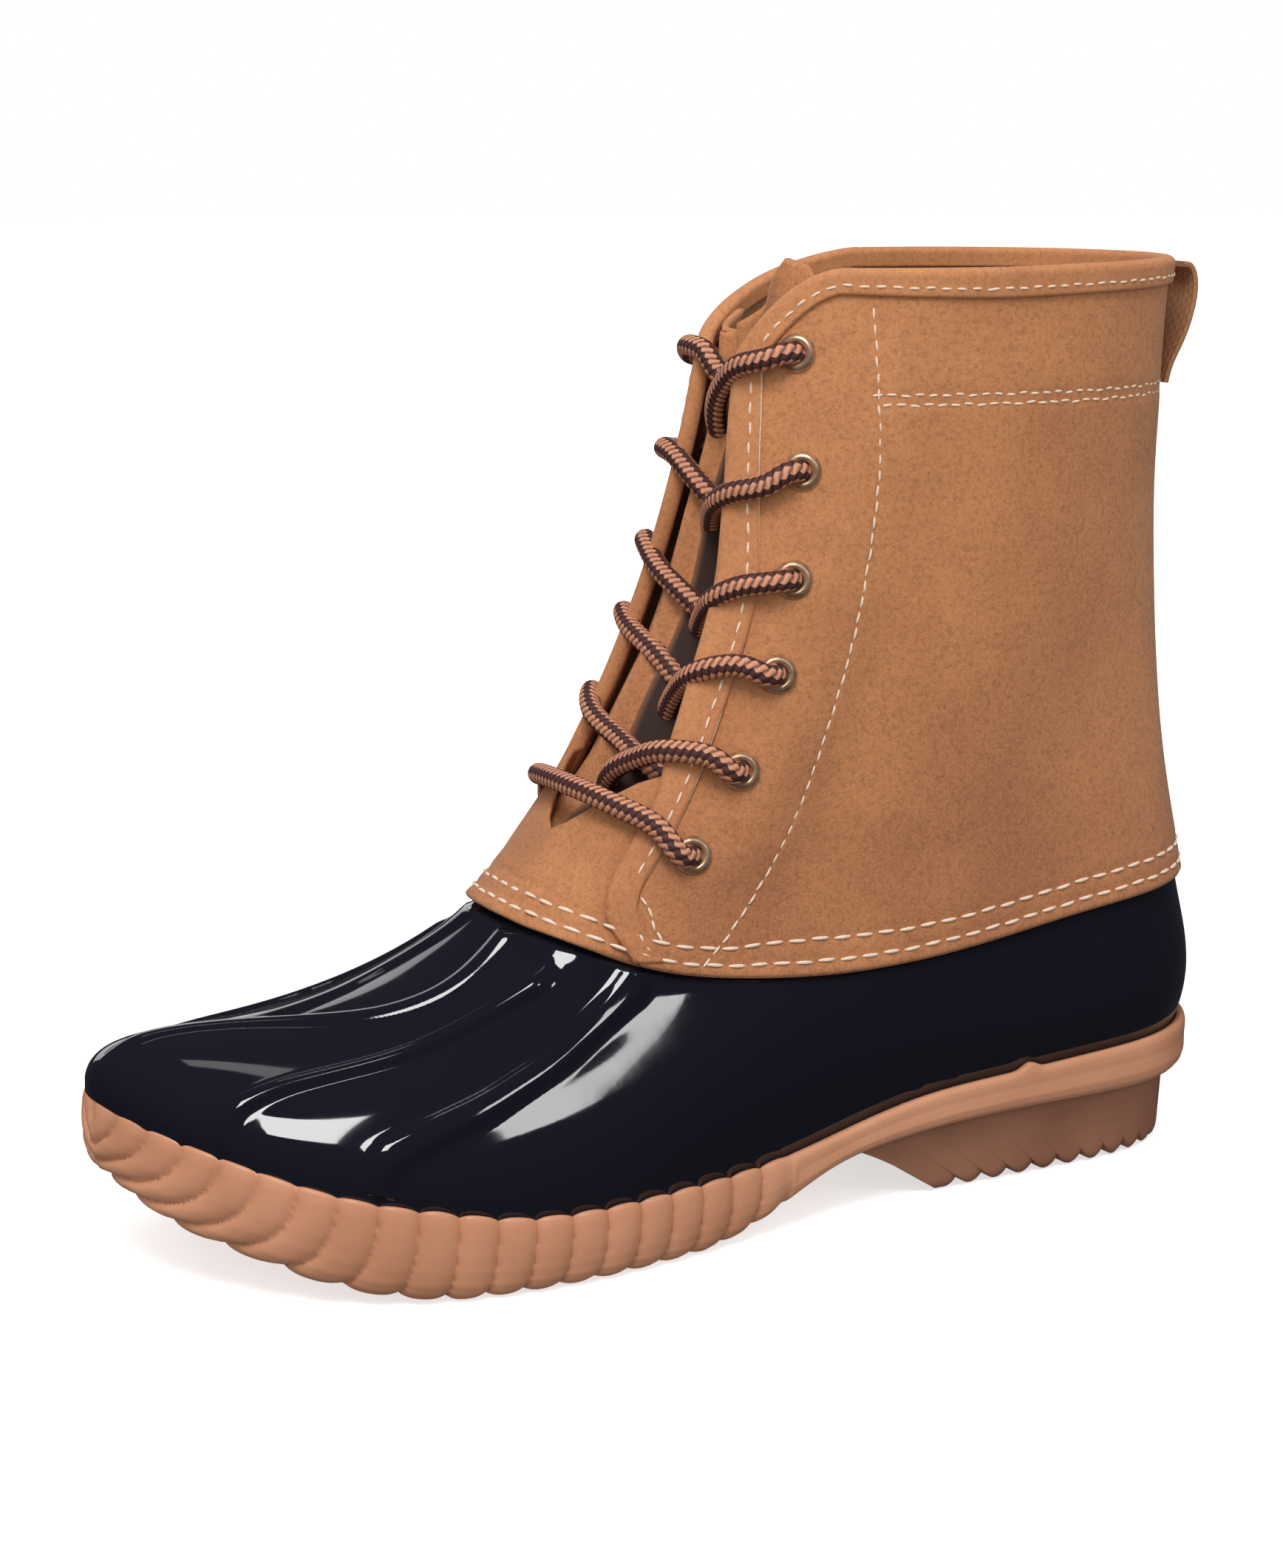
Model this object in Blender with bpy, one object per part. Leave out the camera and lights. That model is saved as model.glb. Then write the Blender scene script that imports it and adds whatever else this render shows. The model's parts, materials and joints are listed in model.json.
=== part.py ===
"""Left duck boot: gum rubber sole, moulded rubber shell and leather shaft laced over a bellows tongue.

The boot stands on z = 0 with its toe towards -X and its outer side towards -Y. Every curve below is
given in the shoe's own sizes, in millimetres: s forward from the back of the heel, y across from the
middle of the heel with the outer side negative, and z up. The objects are written in metres.
"""

import bmesh
import bpy
import math
import numpy as np
from mathutils import Matrix, Vector

MM = 0.001
LENGTH = 285.5
Y_SHIFT = 0.45
COLLAR_Z = 219.0
RUBBER_WALL = 2.2
LEATHER_WALL = 1.6
GAP = 0.3
SHELL_UNDER_LEATHER = 7.0
LIP_DEPTH = 3.0
LIP_WIDTH = 3.0
CORNER_HEIGHT = 20.0
CORNER_SHAPE = {-1: (20.0, 2.0), 1: (38.0, 1.3)}
COLLAR_BAND = 6.5
THROAT_BAND = 5.0
BAND_THICKNESS = 0.9
TONGUE_THICKNESS = 2.4
INSOLE_THICKNESS = 3.5
LACE_RADIUS = 2.4
EYELET_RADIUS = 3.4
EYELET_BEAD = 1.0
HOLE_RADIUS = 2.3
RIBS = 40
RIB_RELIEF = 1.1
RIB_START = 133.0
HEEL_INSET = 6.5

# Plan outlines, as (s, y) points from the back along the outer side and round the toe.
SOLE_PLAN = [(0, 0), (6, -17), (22, -29), (48, -33.5), (80, -35), (112, -36.5), (145, -42), (175, -48.5), (205, -50.5),
             (232, -46), (255, -34.5), (272, -18), (282.5, -3), (285.5, 9), (283, 21), (274, 32.5), (257, 42.5),
             (232, 48.5), (205, 49.5), (175, 45), (145, 37), (112, 31.5), (80, 31.5), (48, 32), (22, 28), (6, 17)]
TOP_PLAN = [(5, 0), (10, -14), (24, -25), (50, -30), (80, -33), (110, -34.5), (140, -34.5), (160, -33), (173.5, -30),
            (185.5, -22.5), (191.8, 1), (185.5, 23.5), (174, 30), (160, 32.5), (140, 33.5), (110, 33), (80, 31.5), (50, 29.5),
            (24, 25), (10, 14)]
COLLAR_PLAN = [(16, 0), (20, -12.5), (33, -25), (55, -32.5), (82, -34), (103, -30.5), (119, -22.5), (129, -11.5),
               (132, 0), (129, 11.5), (119, 22.5), (103, 30.5), (82, 34), (55, 32.5), (33, 25), (20, 12.5)]

# Heights along the shoe, as (s, z): the gum line, the lower edge of the leather, and the underside.
SEAM_LINE = [(0, 31.5), (40, 30), (70, 28.2), (95, 26), (112, 22.6), (135, 18.2), (165, 17), (190, 17), (208, 18),
             (225, 21), (249, 27), (267, 33.5), (279, 38.5), (288, 43)]
TOP_LINE = [(0, 68.5), (30, 67), (60, 64), (90, 60.5), (120, 59), (150, 61), (172, 66), (186, 71), (194, 73.5)]
UNDER_LINE = [(0, 18), (40, 18), (88, 17), (106, 15), (120, 12), (137, 5), (150, 1), (158, 0), (222, 0), (232, 1),
              (244, 3.2), (254, 6), (264, 9.5), (272, 12.5), (280, 17), (288, 24)]

# Opening of the throat, as (z, half width), and the eyelets, as (z, distance from the throat's edge).
THROAT = [(58, 33), (64, 31.5), (70, 29), (76, 25.5), (82, 23.2), (88, 22.3), (95, 22), (100, 21.7), (110, 19.7),
          (120, 18.3), (130, 17.2), (150, 15.3), (160, 13.4), (170, 11.6), (180, 9.8), (190, 8.6), (200, 8), (225, 7.8)]
LOWER_EYELETS = [(173.5, 16.5), (149.5, 16.2), (128.6, 18.0), (107.3, 16.0), (89.0, 13.5)]
EYELETS = {-1: [(199.5, 13.2)] + LOWER_EYELETS, 1: [(196.0, 14.0)] + LOWER_EYELETS}

# One row for each rib of the surface from the back (0) to the front (1). Columns: share of the sole's half
# outline, of the top line's, of the collar's; handles at the gum line (out, up), at the top line (out,
# down), the same handle's length above the top line, and how far the collar's own handle leans out.
SECTIONS = [
    # sole  top    collar flare rise back drop above lean
    (0.00, 0.000, 0.000, 5.0, 14, 2.5, 13, 1.9, -4.5),
    (0.12, 0.150, 0.150, 5.0, 14, 2.0, 13, 1.9, -4.0),
    (0.25, 0.330, 0.310, 5.0, 13, 1.5, 13, 1.9, -1.0),
    (0.38, 0.490, 0.460, 4.0, 12, 2.0, 13, 1.8, 0.0),
    (0.50, 0.620, 0.590, 2.5, 12, 5.0, 12, 1.6, 0.0),
    (0.60, 0.710, 0.690, 1.5, 15, 11.0, 12, 1.4, 2.0),
    (0.70, 0.785, 0.775, 1.0, 17, 19.0, 14, 1.2, 4.0),
    (0.80, 0.855, 0.855, 0.5, 17, 28.0, 20, 1.0, 6.0),
    (0.90, 0.925, 0.930, 0.5, 18, 32.0, 29, 0.95, 7.0),
    (1.00, 1.000, 1.000, 0.5, 21, 35.0, 33, 0.85, 8.0),
]
COLUMNS = ("sole", "top", "collar", "flare", "rise", "back", "drop", "above", "lean")


def spline(points, period=None):
    """Cubic spline through (position, value...) rows, periodic when a period is given."""
    rows = np.array(points, float)
    x, y = rows[:, 0], rows[:, 1:]
    start = x[0]
    if period:
        x = np.concatenate([x[-3:] - period, x, x[:4] + period])
        y = np.concatenate([y[-3:], y, y[:4]])
    h = np.diff(x)
    n = len(x)
    system = np.eye(n)
    right = np.zeros_like(y)
    for i in range(1, n - 1):
        system[i, i - 1:i + 2] = h[i - 1], 2 * (h[i - 1] + h[i]), h[i]
        right[i] = 6 * ((y[i + 1] - y[i]) / h[i] - (y[i] - y[i - 1]) / h[i - 1])
    bend = np.linalg.solve(system, right)

    def value(q):
        q = np.asarray(q, float)
        flat = q.ravel()
        if period:
            flat = (flat - start) % period + start
        i = np.clip(np.searchsorted(x, flat) - 1, 0, n - 2)
        d = h[i][:, None]
        b = ((flat - x[i]) / h[i])[:, None]
        c = 1 - b
        cubic = (c ** 3 - c) * bend[i] + (b ** 3 - b) * bend[i + 1]
        found = c * y[i] + b * y[i + 1] + d ** 2 / 6 * cubic
        return found.reshape(q.shape if y.shape[1] == 1 else q.shape + (y.shape[1],))

    return value


def outline(points, front):
    """Closed curve by share of its length: 0 at the back, 0.5 at the front point, on towards the inner side."""
    loop = np.array(points + points[:1], float)
    knots = np.concatenate([[0], np.cumsum(np.linalg.norm(np.diff(loop, axis=0), axis=1))])
    curve = spline(np.column_stack([knots[:-1], loop[:-1]]), period=knots[-1])
    fine = np.linspace(0, knots[-1], 2001)
    arc = np.concatenate([[0], np.cumsum(np.linalg.norm(np.diff(curve(fine), axis=0), axis=1))])
    middle = np.interp(knots[front], fine, arc)
    half = 0.5 * arc / middle
    share = np.where(arc <= middle, half, 0.5 + 0.5 * (arc - middle) / (arc[-1] - middle))
    return lambda w: curve(np.interp(np.asarray(w, float) % 1.0, share, fine))


def outward(curve, w):
    """Unit direction out of a plan outline, as (s, y, 0)."""
    d = curve(w + 1e-3) - curve(w - 1e-3)
    n = np.stack([d[..., 1], -d[..., 0], np.zeros(d.shape[:-1])], -1)
    return n / np.linalg.norm(n, axis=-1)[..., None]


def section(name):
    """A column of SECTIONS as a function of u round the boot, the same on both sides."""
    k = COLUMNS.index(name)
    half = np.array([row[0] for row in SECTIONS])
    values = np.array([row[k] for row in SECTIONS], float)
    odd = name in ("top", "collar")
    before = -values[3:0:-1] if odd else values[3:0:-1]
    after = 2 - values[-2:-5:-1] if odd else values[-2:-5:-1]
    x = np.concatenate([-half[3:0:-1], half, 2 - half[-2:-5:-1]])
    curve = spline(np.column_stack([x, np.concatenate([before, values, after])]))

    def value(u):
        u = np.asarray(u, float) % 1.0
        found = curve(np.where(u <= 0.5, 2 * u, 2 - 2 * u))
        return np.where(u <= 0.5, found / 2, 1 - found / 2) if odd else found

    return value


sole_curve = outline(SOLE_PLAN, 13)
top_curve = outline(TOP_PLAN, 10)
collar_curve = outline(COLLAR_PLAN, 8)
seam_z = spline(SEAM_LINE)
top_z = spline(TOP_LINE)
under_curve = spline(UNDER_LINE)
column = {name: section(name) for name in COLUMNS[1:]}
UP = np.array([0.0, 0.0, 1.0])


def bezier(p0, p1, p2, p3, t):
    t = t[..., None]
    return (1 - t) ** 3 * p0 + 3 * (1 - t) ** 2 * t * p1 + 3 * (1 - t) * t ** 2 * p2 + t ** 3 * p3


def under_z(s):
    """Height of the underside: flat on the ground under the ball."""
    return np.where((s > 157) & (s < 223), 0.0, np.maximum(under_curve(s), 0.0))


def seam_point(u, inset):
    """Point at the gum line's height, this far in from the sole's outline."""
    edge = sole_curve(u)
    plan = edge - outward(sole_curve, u)[..., :2] * inset
    return np.concatenate([plan, seam_z(edge[..., 0])[..., None]], -1)


def leaning(u):
    """Direction of the handles at the top line: out at the back and sides, forward round the instep."""
    half = np.where(u <= 0.5, 2 * u, 2 - 2 * u)
    share = np.clip((half - 0.4) / 0.35, 0, 1)
    share = (share * share * (3 - 2 * share))[..., None]
    found = outward(top_curve, column["top"](u)) * (1 - share) + np.array([1.0, 0.0, 0.0]) * share
    return found / np.linalg.norm(found, axis=-1)[..., None]


def surface(u, h):
    """Outer surface of the boot: h runs 0 to 1 up the rubber shell and 1 to 2 up the leather shaft."""
    u, h = np.broadcast_arrays(np.asarray(u, float) % 1.0, np.asarray(h, float))
    low = seam_point(u, LIP_WIDTH)
    plan = top_curve(column["top"](u))
    middle = np.concatenate([plan, top_z(plan[..., 0])[..., None]], -1)
    out = leaning(u)
    plan = collar_curve(column["collar"](u))
    high = np.concatenate([plan, np.full(plan.shape[:-1] + (1,), COLLAR_Z)], -1)
    high_out = outward(collar_curve, column["collar"](u))
    handle = {name: f(u)[..., None] for name, f in column.items() if name not in ("top", "collar")}
    lower = bezier(low, low + outward(sole_curve, u) * handle["flare"] + UP * handle["rise"],
                   middle + out * handle["back"] - UP * handle["drop"], middle, h)
    upper = bezier(middle, middle - (out * handle["back"] - UP * handle["drop"]) * handle["above"],
                   high + high_out * handle["lean"] - UP * 72.0, high, h - 1)
    return np.where((h <= 1)[..., None], lower, upper)


def layer(u, h, out):
    """The surface moved outwards by this many millimetres."""
    u, h = np.broadcast_arrays(np.asarray(u, float), np.asarray(h, float))
    e = 2e-3
    round_boot = surface(u + e, h) - surface(u - e, h)
    up_boot = surface(u, h + e) - surface(u, h - e)
    n = np.cross(round_boot, up_boot)
    n /= np.linalg.norm(n, axis=-1)[..., None]
    return surface(u, h) + n * np.asarray(out, float)[..., None]


def above_top_line(u, distance):
    """The h this many millimetres up from the top line."""
    handle = np.hypot(column["back"](u), column["drop"](u)) * column["above"](u)
    return 1 + distance / (3 * handle)


def level(u, z):
    """The h above the top line at which each rib of the surface reaches a height."""
    u, z = np.broadcast_arrays(np.asarray(u, float), np.asarray(z, float))
    low = np.full(u.shape, 0.7)
    high = np.full(u.shape, 2.1)
    for _ in range(18):
        mid = (low + high) / 2
        under = surface(u, mid)[..., 2] < z
        low = np.where(under, mid, low)
        high = np.where(under, high, mid)
    return (low + high) / 2


throat_half = spline(THROAT)


def throat_edge(z, side):
    """The u of the throat's edge at some heights, on the outer (-1) or the inner (1) side, and its share a mm."""
    low = np.full(z.shape, 0.5)
    high = np.full(z.shape, 0.5 + side * 0.17)
    for _ in range(18):
        mid = (low + high) / 2
        inside = np.abs(surface(mid, level(mid, z))[..., 1]) < throat_half(z)
        low = np.where(inside, mid, low)
        high = np.where(inside, high, mid)
    edge = (low + high) / 2
    further = edge + side * 0.03
    step = np.linalg.norm(surface(further, level(further, z)) - surface(edge, level(edge, z)), axis=-1)
    return edge, side * 0.03 / step


EDGE_Z = np.linspace(56, 226, 69)
EDGE = {side: throat_edge(EDGE_Z, side) for side in (-1, 1)}


def beside_throat(z, distance, side):
    """The (u, h) this many millimetres round the boot from the throat's edge, at a height."""
    edge, per_mm = (np.interp(z, EDGE_Z, values) for values in EDGE[side])
    u = edge + per_mm * np.asarray(distance, float)
    return u, level(u, z)


def collection(name, parent, hidden=False):
    made = bpy.data.collections.new(name)
    made.hide_render = hidden
    parent.children.link(made)
    return made


for old in list(bpy.data.objects):
    bpy.data.objects.remove(old, do_unlink=True)
scene = bpy.context.scene
boot = collection("duck_boot", scene.collection)
helpers = collection("helpers", scene.collection, hidden=True)

COLOURS = {
    "gum": (0.46, 0.22, 0.12), "rubber": (0.010, 0.012, 0.022), "leather": (0.50, 0.25, 0.10),
    "lining": (0.30, 0.15, 0.07), "brass": (0.42, 0.34, 0.20), "lace": (0.13, 0.05, 0.04), "webbing": (0.40, 0.20, 0.09),
}


def finish(name, mesh, colour, helper=False):
    """Links a mesh as an object with a material of its own, or as a hidden cutter."""
    obj = bpy.data.objects.new(name, mesh)
    (helpers if helper else boot).objects.link(obj)
    if helper:
        obj.hide_render = True
        obj.display_type = "WIRE"
        return obj
    material = bpy.data.materials.new(name)
    material.use_nodes = True
    shader = material.node_tree.nodes["Principled BSDF"]
    shader.inputs["Base Color"].default_value = (*COLOURS[colour], 1)
    shader.inputs["Roughness"].default_value = 0.2 if colour in ("rubber", "brass") else 0.8
    shader.inputs["Metallic"].default_value = 1.0 if colour == "brass" else 0.0
    mesh.materials.append(material)
    return obj


def solid(name, points, faces, colour, helper=False):
    """A mesh from points in the shoe's sizes, with its faces turned outwards."""
    p = np.asarray(points, float)
    world = np.column_stack([LENGTH / 2 - p[:, 0], p[:, 1] + Y_SHIFT, p[:, 2]]) * MM
    mesh = bpy.data.meshes.new(name)
    mesh.from_pydata([tuple(v) for v in world], [], [tuple(int(i) for i in f) for f in faces])
    work = bmesh.new()
    work.from_mesh(mesh)
    bmesh.ops.recalc_face_normals(work, faces=work.faces)
    work.to_mesh(mesh)
    work.free()
    return finish(name, mesh, colour, helper)


def sheet(name, outer, inner, colour, closed=False):
    """A solid between two grids of points, closed round its rim, or joined end to end."""
    rows, cols = outer.shape[:2]
    points = np.concatenate([outer.reshape(-1, 3), inner.reshape(-1, 3)])
    front = np.arange(rows * cols).reshape(rows, cols)
    if closed:
        front = np.vstack([front, front[:1]])
    back = front + rows * cols
    faces = []
    for i in range(front.shape[0] - 1):
        for j in range(cols - 1):
            faces.append((front[i, j], front[i + 1, j], front[i + 1, j + 1], front[i, j + 1]))
            faces.append((back[i, j], back[i, j + 1], back[i + 1, j + 1], back[i + 1, j]))
        for j in (0, cols - 1):
            faces.append((front[i, j], back[i, j], back[i + 1, j], front[i + 1, j]))
    if not closed:
        for i in (0, rows - 1):
            for j in range(cols - 1):
                faces.append((front[i, j], front[i, j + 1], back[i, j + 1], back[i, j]))
    return solid(name, points, faces, colour)


def stack(name, rings, colour):
    """A solid through rings that start at the back and run round the boot, each end filled across."""
    count = len(rings[0])
    faces = []
    for k in range(len(rings) - 1):
        for i in range(count):
            j = (i + 1) % count
            faces.append((k * count + i, k * count + j, (k + 1) * count + j, (k + 1) * count + i))
    for k in (0, len(rings) - 1):
        for i in range(count // 2):
            corners = [k * count + c % count for c in (i, i + 1, count - i - 1, count - i)]
            faces.append(tuple(dict.fromkeys(corners)))
    return solid(name, np.concatenate(rings), faces, colour)


def boolean(obj, other, operation):
    modifier = obj.modifiers.new(operation.lower(), "BOOLEAN")
    modifier.operation = operation
    modifier.solver = "EXACT"
    modifier.object = other


# Outsole: flutes round the forefoot, a smooth band at the waist and the heel, a rim that holds the shell,
# and a bed under the insole. The samples fall on the flutes' valleys, flanks and crowns.
def share_at(s, side):
    """The share of the sole's outline at a distance from the heel, on one side."""
    w = np.linspace(0, 0.5, 400) if side < 0 else np.linspace(1, 0.5, 400)
    return float(np.interp(s, sole_curve(w)[:, 0], w))


RIB_FROM = share_at(RIB_START, -1)
RIB_TO = share_at(RIB_START, 1)
FLANKS = (0.0, 0.28, 0.72)
forefoot = [RIB_FROM + (RIB_TO - RIB_FROM) * (i + f) / RIBS for i in range(RIBS) for f in FLANKS] + [RIB_TO]
hind = 22
around = np.array([RIB_FROM * i / hind for i in range(hind)] + forefoot
                  + [RIB_TO + (1 - RIB_TO) * i / hind for i in range(1, hind)])
inside_ribs = (around >= RIB_FROM - 1e-9) & (around <= RIB_TO + 1e-9)
place = (around - RIB_FROM) / (RIB_TO - RIB_FROM) * RIBS % 1.0
crown = np.where(inside_ribs, 1 - np.abs(2 * place - 1) ** 2.2, 1.0)
crown[np.isclose(place, 1.0) | np.isclose(place, 0.0)] = 0.0
crown = np.where(inside_ribs, crown, 1.0)
out_dir = outward(sole_curve, around)
edge_plan = sole_curve(around)
along = edge_plan[:, 0]
band_under = under_z(along)
rim = seam_z(along)
fluted = np.where(inside_ribs, 1.0, 0.0)


def sole_ring(inset, z):
    plan = edge_plan - out_dir[:, :2] * np.broadcast_to(inset, along.shape)[:, None]
    return np.column_stack([plan, np.broadcast_to(z, along.shape)])


valley = RIB_RELIEF * (1 - crown) * fluted
height = rim - band_under
scallop = (crown - 0.6) * 1.2 * fluted
rings = [
    sole_ring(9.0, band_under),
    sole_ring(4.2 + 0.3 * valley, band_under + 0.2 * fluted),
    sole_ring(1.6 + valley, band_under + height * 0.16),
    sole_ring(0.3 + valley, band_under + height * 0.42),
    sole_ring(0.0 + valley, band_under + height * 0.72),
    sole_ring(0.5 + valley, rim - 0.9 + scallop),
    sole_ring(1.2 + 0.5 * valley, rim + scallop),
    sole_ring(LIP_WIDTH - GAP - 0.5, rim - 0.6),
    sole_ring(LIP_WIDTH - GAP - 0.35, rim - LIP_DEPTH),
    sole_ring(LIP_WIDTH + RUBBER_WALL + 1.4, rim - LIP_DEPTH),
    sole_ring(LIP_WIDTH + RUBBER_WALL + 3.0, rim - LIP_DEPTH - 2.2),
]
outsole = stack("outsole", rings, "gum")

# Heel block: a horseshoe wall under the band, its front face sloping up to the waist.
heel_w = np.concatenate([np.linspace(share_at(86, -1), 0, 12), np.linspace(1, share_at(86, 1), 12)[1:]])
top_w = np.concatenate([np.linspace(share_at(116, -1), 0, 12), np.linspace(1, share_at(116, 1), 12)[1:]])


def heel_ring(w, inset, z):
    plan = sole_curve(w) - outward(sole_curve, w)[:, :2] * inset
    return np.column_stack([plan, np.full(len(w), z)])


low = heel_ring(heel_w, HEEL_INSET, 0.0)
high = heel_ring(top_w, HEEL_INSET - 1.0, 0.0)
high[:, 2] = under_z(high[:, 0]) + 1.5
n = len(low)
walls = [(i, i + 1, n + i + 1, n + i) for i in range(n - 1)] + [(0, n, 2 * n - 1, n - 1)]
caps = [tuple(range(n)), tuple(range(n, 2 * n))]
heel = solid("heel_block", np.concatenate([low, high]), walls + caps, "gum", helper=True)
boolean(outsole, heel, "UNION")

# Grooves between the lugs, cut in from both edges of the heel and the forefoot.
wedges, wedge_faces = [], []
for first, last, pitch, reach in ((24, 80, 8.0, 15.0), (158, 222, 9.2, 20.0)):
    for s in np.arange(first, last, pitch):
        for side in (-1, 1):
            y_edge = sole_curve(share_at(s, side))[1]
            base = len(wedges)
            for y in (y_edge + side * 4, y_edge - side * reach):
                wedges += [(s - 1.9, y, -1.0), (s + 1.9, y, -1.0), (s, y, 2.4)]
            wedge_faces += [(base, base + 1, base + 2), (base + 3, base + 5, base + 4)]
            wedge_faces += [(base + i, base + 3 + i, base + 3 + (i + 1) % 3, base + (i + 1) % 3) for i in range(3)]
grooves = solid("grooves", wedges, wedge_faces, "gum", helper=True)
boolean(outsole, grooves, "DIFFERENCE")

# Insole: a flat sheet that follows the bed, clear of the shell all round.
inner_w = np.linspace(0, 1, 56, endpoint=False)


def bed_ring(inset, lift):
    plan = sole_curve(inner_w) - outward(sole_curve, inner_w)[:, :2] * inset
    return np.column_stack([plan, seam_z(sole_curve(inner_w)[:, 0]) - LIP_DEPTH - 2.2 + lift])


stack("insole", [bed_ring(LIP_WIDTH + RUBBER_WALL + 3.4, GAP), bed_ring(LIP_WIDTH + RUBBER_WALL + 3.0, 1.6),
                 bed_ring(LIP_WIDTH + RUBBER_WALL + 3.4, GAP + INSOLE_THICKNESS)], "lining")

# Rubber shell: from inside the sole's rim to a little way up under the leather.
shell_u = np.concatenate([around[:hind:2], around[hind:-hind + 1:len(FLANKS)], around[-hind + 2::2]])[:, None]
shell_rows = [0.0, 0.1, 0.26, 0.45, 0.64, 0.82, 0.98, 1.0]
shell_h = np.column_stack([np.full(len(shell_u), h) for h in shell_rows]
                          + [above_top_line(shell_u[:, 0], SHELL_UNDER_LEATHER)])
foot = LIP_DEPTH - GAP
tucked = np.where(shell_h >= 1.0, -1.1, 0.0)
outer = layer(shell_u, shell_h, tucked)
inner = layer(shell_u, shell_h, np.full(shell_h.shape, -RUBBER_WALL))
under = seam_point(shell_u[:, 0], LIP_WIDTH) - UP * foot
under_in = seam_point(shell_u[:, 0], LIP_WIDTH + RUBBER_WALL) - UP * foot
under_in[:, 2] = under[:, 2]
outer = np.concatenate([under[:, None], outer], axis=1)
inner = np.concatenate([under_in[:, None], inner], axis=1)
sheet("rubber_shell", outer, inner, "rubber", closed=True)


# Leather shaft: one sheet from the outer throat edge round the back to the inner one.
def corner_drop(distance, side):
    """How far the collar's rounded corner lies under the collar, this far from the throat's edge."""
    width, power = CORNER_SHAPE[side]
    return CORNER_HEIGHT * np.clip(1 - distance / width, 0, 1) ** power


near_edge = np.array([0, 1.5, 4, 8, 12, 16, 24, 36])
rise = np.array([0.0, 0.06, 0.16, 0.3, 0.44, 0.58, 0.72, 0.86, 1.0])
foot_z = 62.0


def shaft_columns(side):
    """Columns (u, h) from the throat's edge towards the back, on one side."""
    columns = []
    for distance in near_edge:
        top = COLLAR_Z - corner_drop(distance, side)
        u_low, _ = beside_throat(np.array(foot_z), distance, side)
        z = top_z(top_curve(column["top"](u_low))[..., 0]) + rise * 0
        z = z + (top - z) * rise
        u, h = beside_throat(z, distance, side)
        h[0] = 1.0
        columns.append((u, h))
    return columns


outer_side, inner_side = shaft_columns(-1), shaft_columns(1)
u_from, u_to = outer_side[-1][0], inner_side[-1][0] - 1
back_share = np.linspace(0, 1, 30)[1:-1]
back = []
for share in back_share:
    u = u_from + (u_to - u_from) * share
    bottom = surface(u[0], 1.0)[2]
    back.append((u, np.concatenate([[1.0], level(u[1:], bottom + (COLLAR_Z - bottom) * rise[1:])])))
columns = outer_side + back + [(u - 1, h) for u, h in inner_side[::-1]]
shaft_u = np.array([c[0] for c in columns])
shaft_h = np.array([c[1] for c in columns])
outer = layer(shaft_u, shaft_h, np.full(shaft_u.shape, GAP + LEATHER_WALL))
inner = layer(shaft_u, shaft_h, np.full(shaft_u.shape, GAP))
shaft = sheet("leather_shaft", outer, inner, "leather")


# Eyelets: a rounded ring on the leather round each hole.
def frame_at(u, h, out):
    """Place on the layer with its outward normal, in the shoe's sizes."""
    here = layer(np.array(u), np.array(h), np.array(out))
    there = layer(np.array(u), np.array(h), np.array(out + 1.0))
    return here, there - here


def seated(place, normal, flat=1.0):
    """World matrix that puts a primitive's +Z along a normal given in the shoe's sizes."""
    s, y, z = (float(value) for value in place)
    direction = Vector((-float(normal[0]), float(normal[1]), float(normal[2])))
    turn = direction.to_track_quat("Z", "Y").to_matrix().to_4x4()
    where = Vector((LENGTH / 2 - s, y + Y_SHIFT, z)) * MM
    return Matrix.Translation(where) @ turn @ Matrix.Diagonal((1.0, 1.0, flat, 1.0))


TURNS = 12
BEAD_TURNS = 4
BEAD_FLAT = 0.6
DRILL_LENGTH = 8.0
drilling = bmesh.new()
for side, letter in ((-1, "outer"), (1, "inner")):
    for number, (z, distance) in enumerate(EYELETS[side]):
        u, h = beside_throat(np.array(z), distance, side)
        centre, normal = frame_at(u, h, GAP * 2 + LEATHER_WALL + EYELET_BEAD * BEAD_FLAT)
        bpy.ops.mesh.primitive_torus_add(major_segments=TURNS, minor_segments=BEAD_TURNS,
                                         major_radius=EYELET_RADIUS * MM, minor_radius=EYELET_BEAD * MM)
        ring = bpy.context.object.data
        bpy.data.objects.remove(bpy.context.object, do_unlink=True)
        ring.transform(seated(centre, normal, BEAD_FLAT))
        ring.shade_smooth()
        finish(f"eyelet_{letter}_{number + 1}", ring, "brass")
        bmesh.ops.create_cone(drilling, cap_ends=True, segments=TURNS, radius1=HOLE_RADIUS * MM,
                              radius2=HOLE_RADIUS * MM, depth=DRILL_LENGTH * MM, matrix=seated(centre, normal))
bmesh.ops.recalc_face_normals(drilling, faces=drilling.faces)
drill_mesh = bpy.data.meshes.new("drills")
drilling.to_mesh(drill_mesh)
drilling.free()
drills = finish("drills", drill_mesh, "brass", helper=True)
boolean(shaft, drills, "DIFFERENCE")

# Edge band: the folded leather along the throat, round the collar's corners and along the collar.
band_rows = []
for side in (-1, 1):
    rows = []
    for z in np.linspace(84, COLLAR_Z - CORNER_HEIGHT, 12):
        rows.append([(z, THROAT_BAND * k) for k in (0.03, 1.0)])
    for distance in near_edge[1:]:
        z = COLLAR_Z - 0.15 - float(corner_drop(distance, side))
        slope = (float(corner_drop(distance - 0.01, side)) - float(corner_drop(distance + 0.01, side))) / 0.02
        wide = THROAT_BAND + (COLLAR_BAND - THROAT_BAND) * max(0.0, distance - 16) / 20
        reach = wide / math.hypot(1, slope)
        rows.append([(z, distance), (z - reach, distance + reach * slope)])
    places = [[beside_throat(np.array(z), d, side) for z, d in row] for row in rows]
    band_rows.append(np.array(places, float))
collar_u = np.array([[c[0][-1]] * 2 for c in back])
collar_h = level(collar_u, np.array([COLLAR_Z - 0.15, COLLAR_Z - COLLAR_BAND])[None, :])
outer_part, inner_part = band_rows
band_u = np.concatenate([outer_part[:, :, 0], collar_u, inner_part[::-1, :, 0] - 1])
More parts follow.
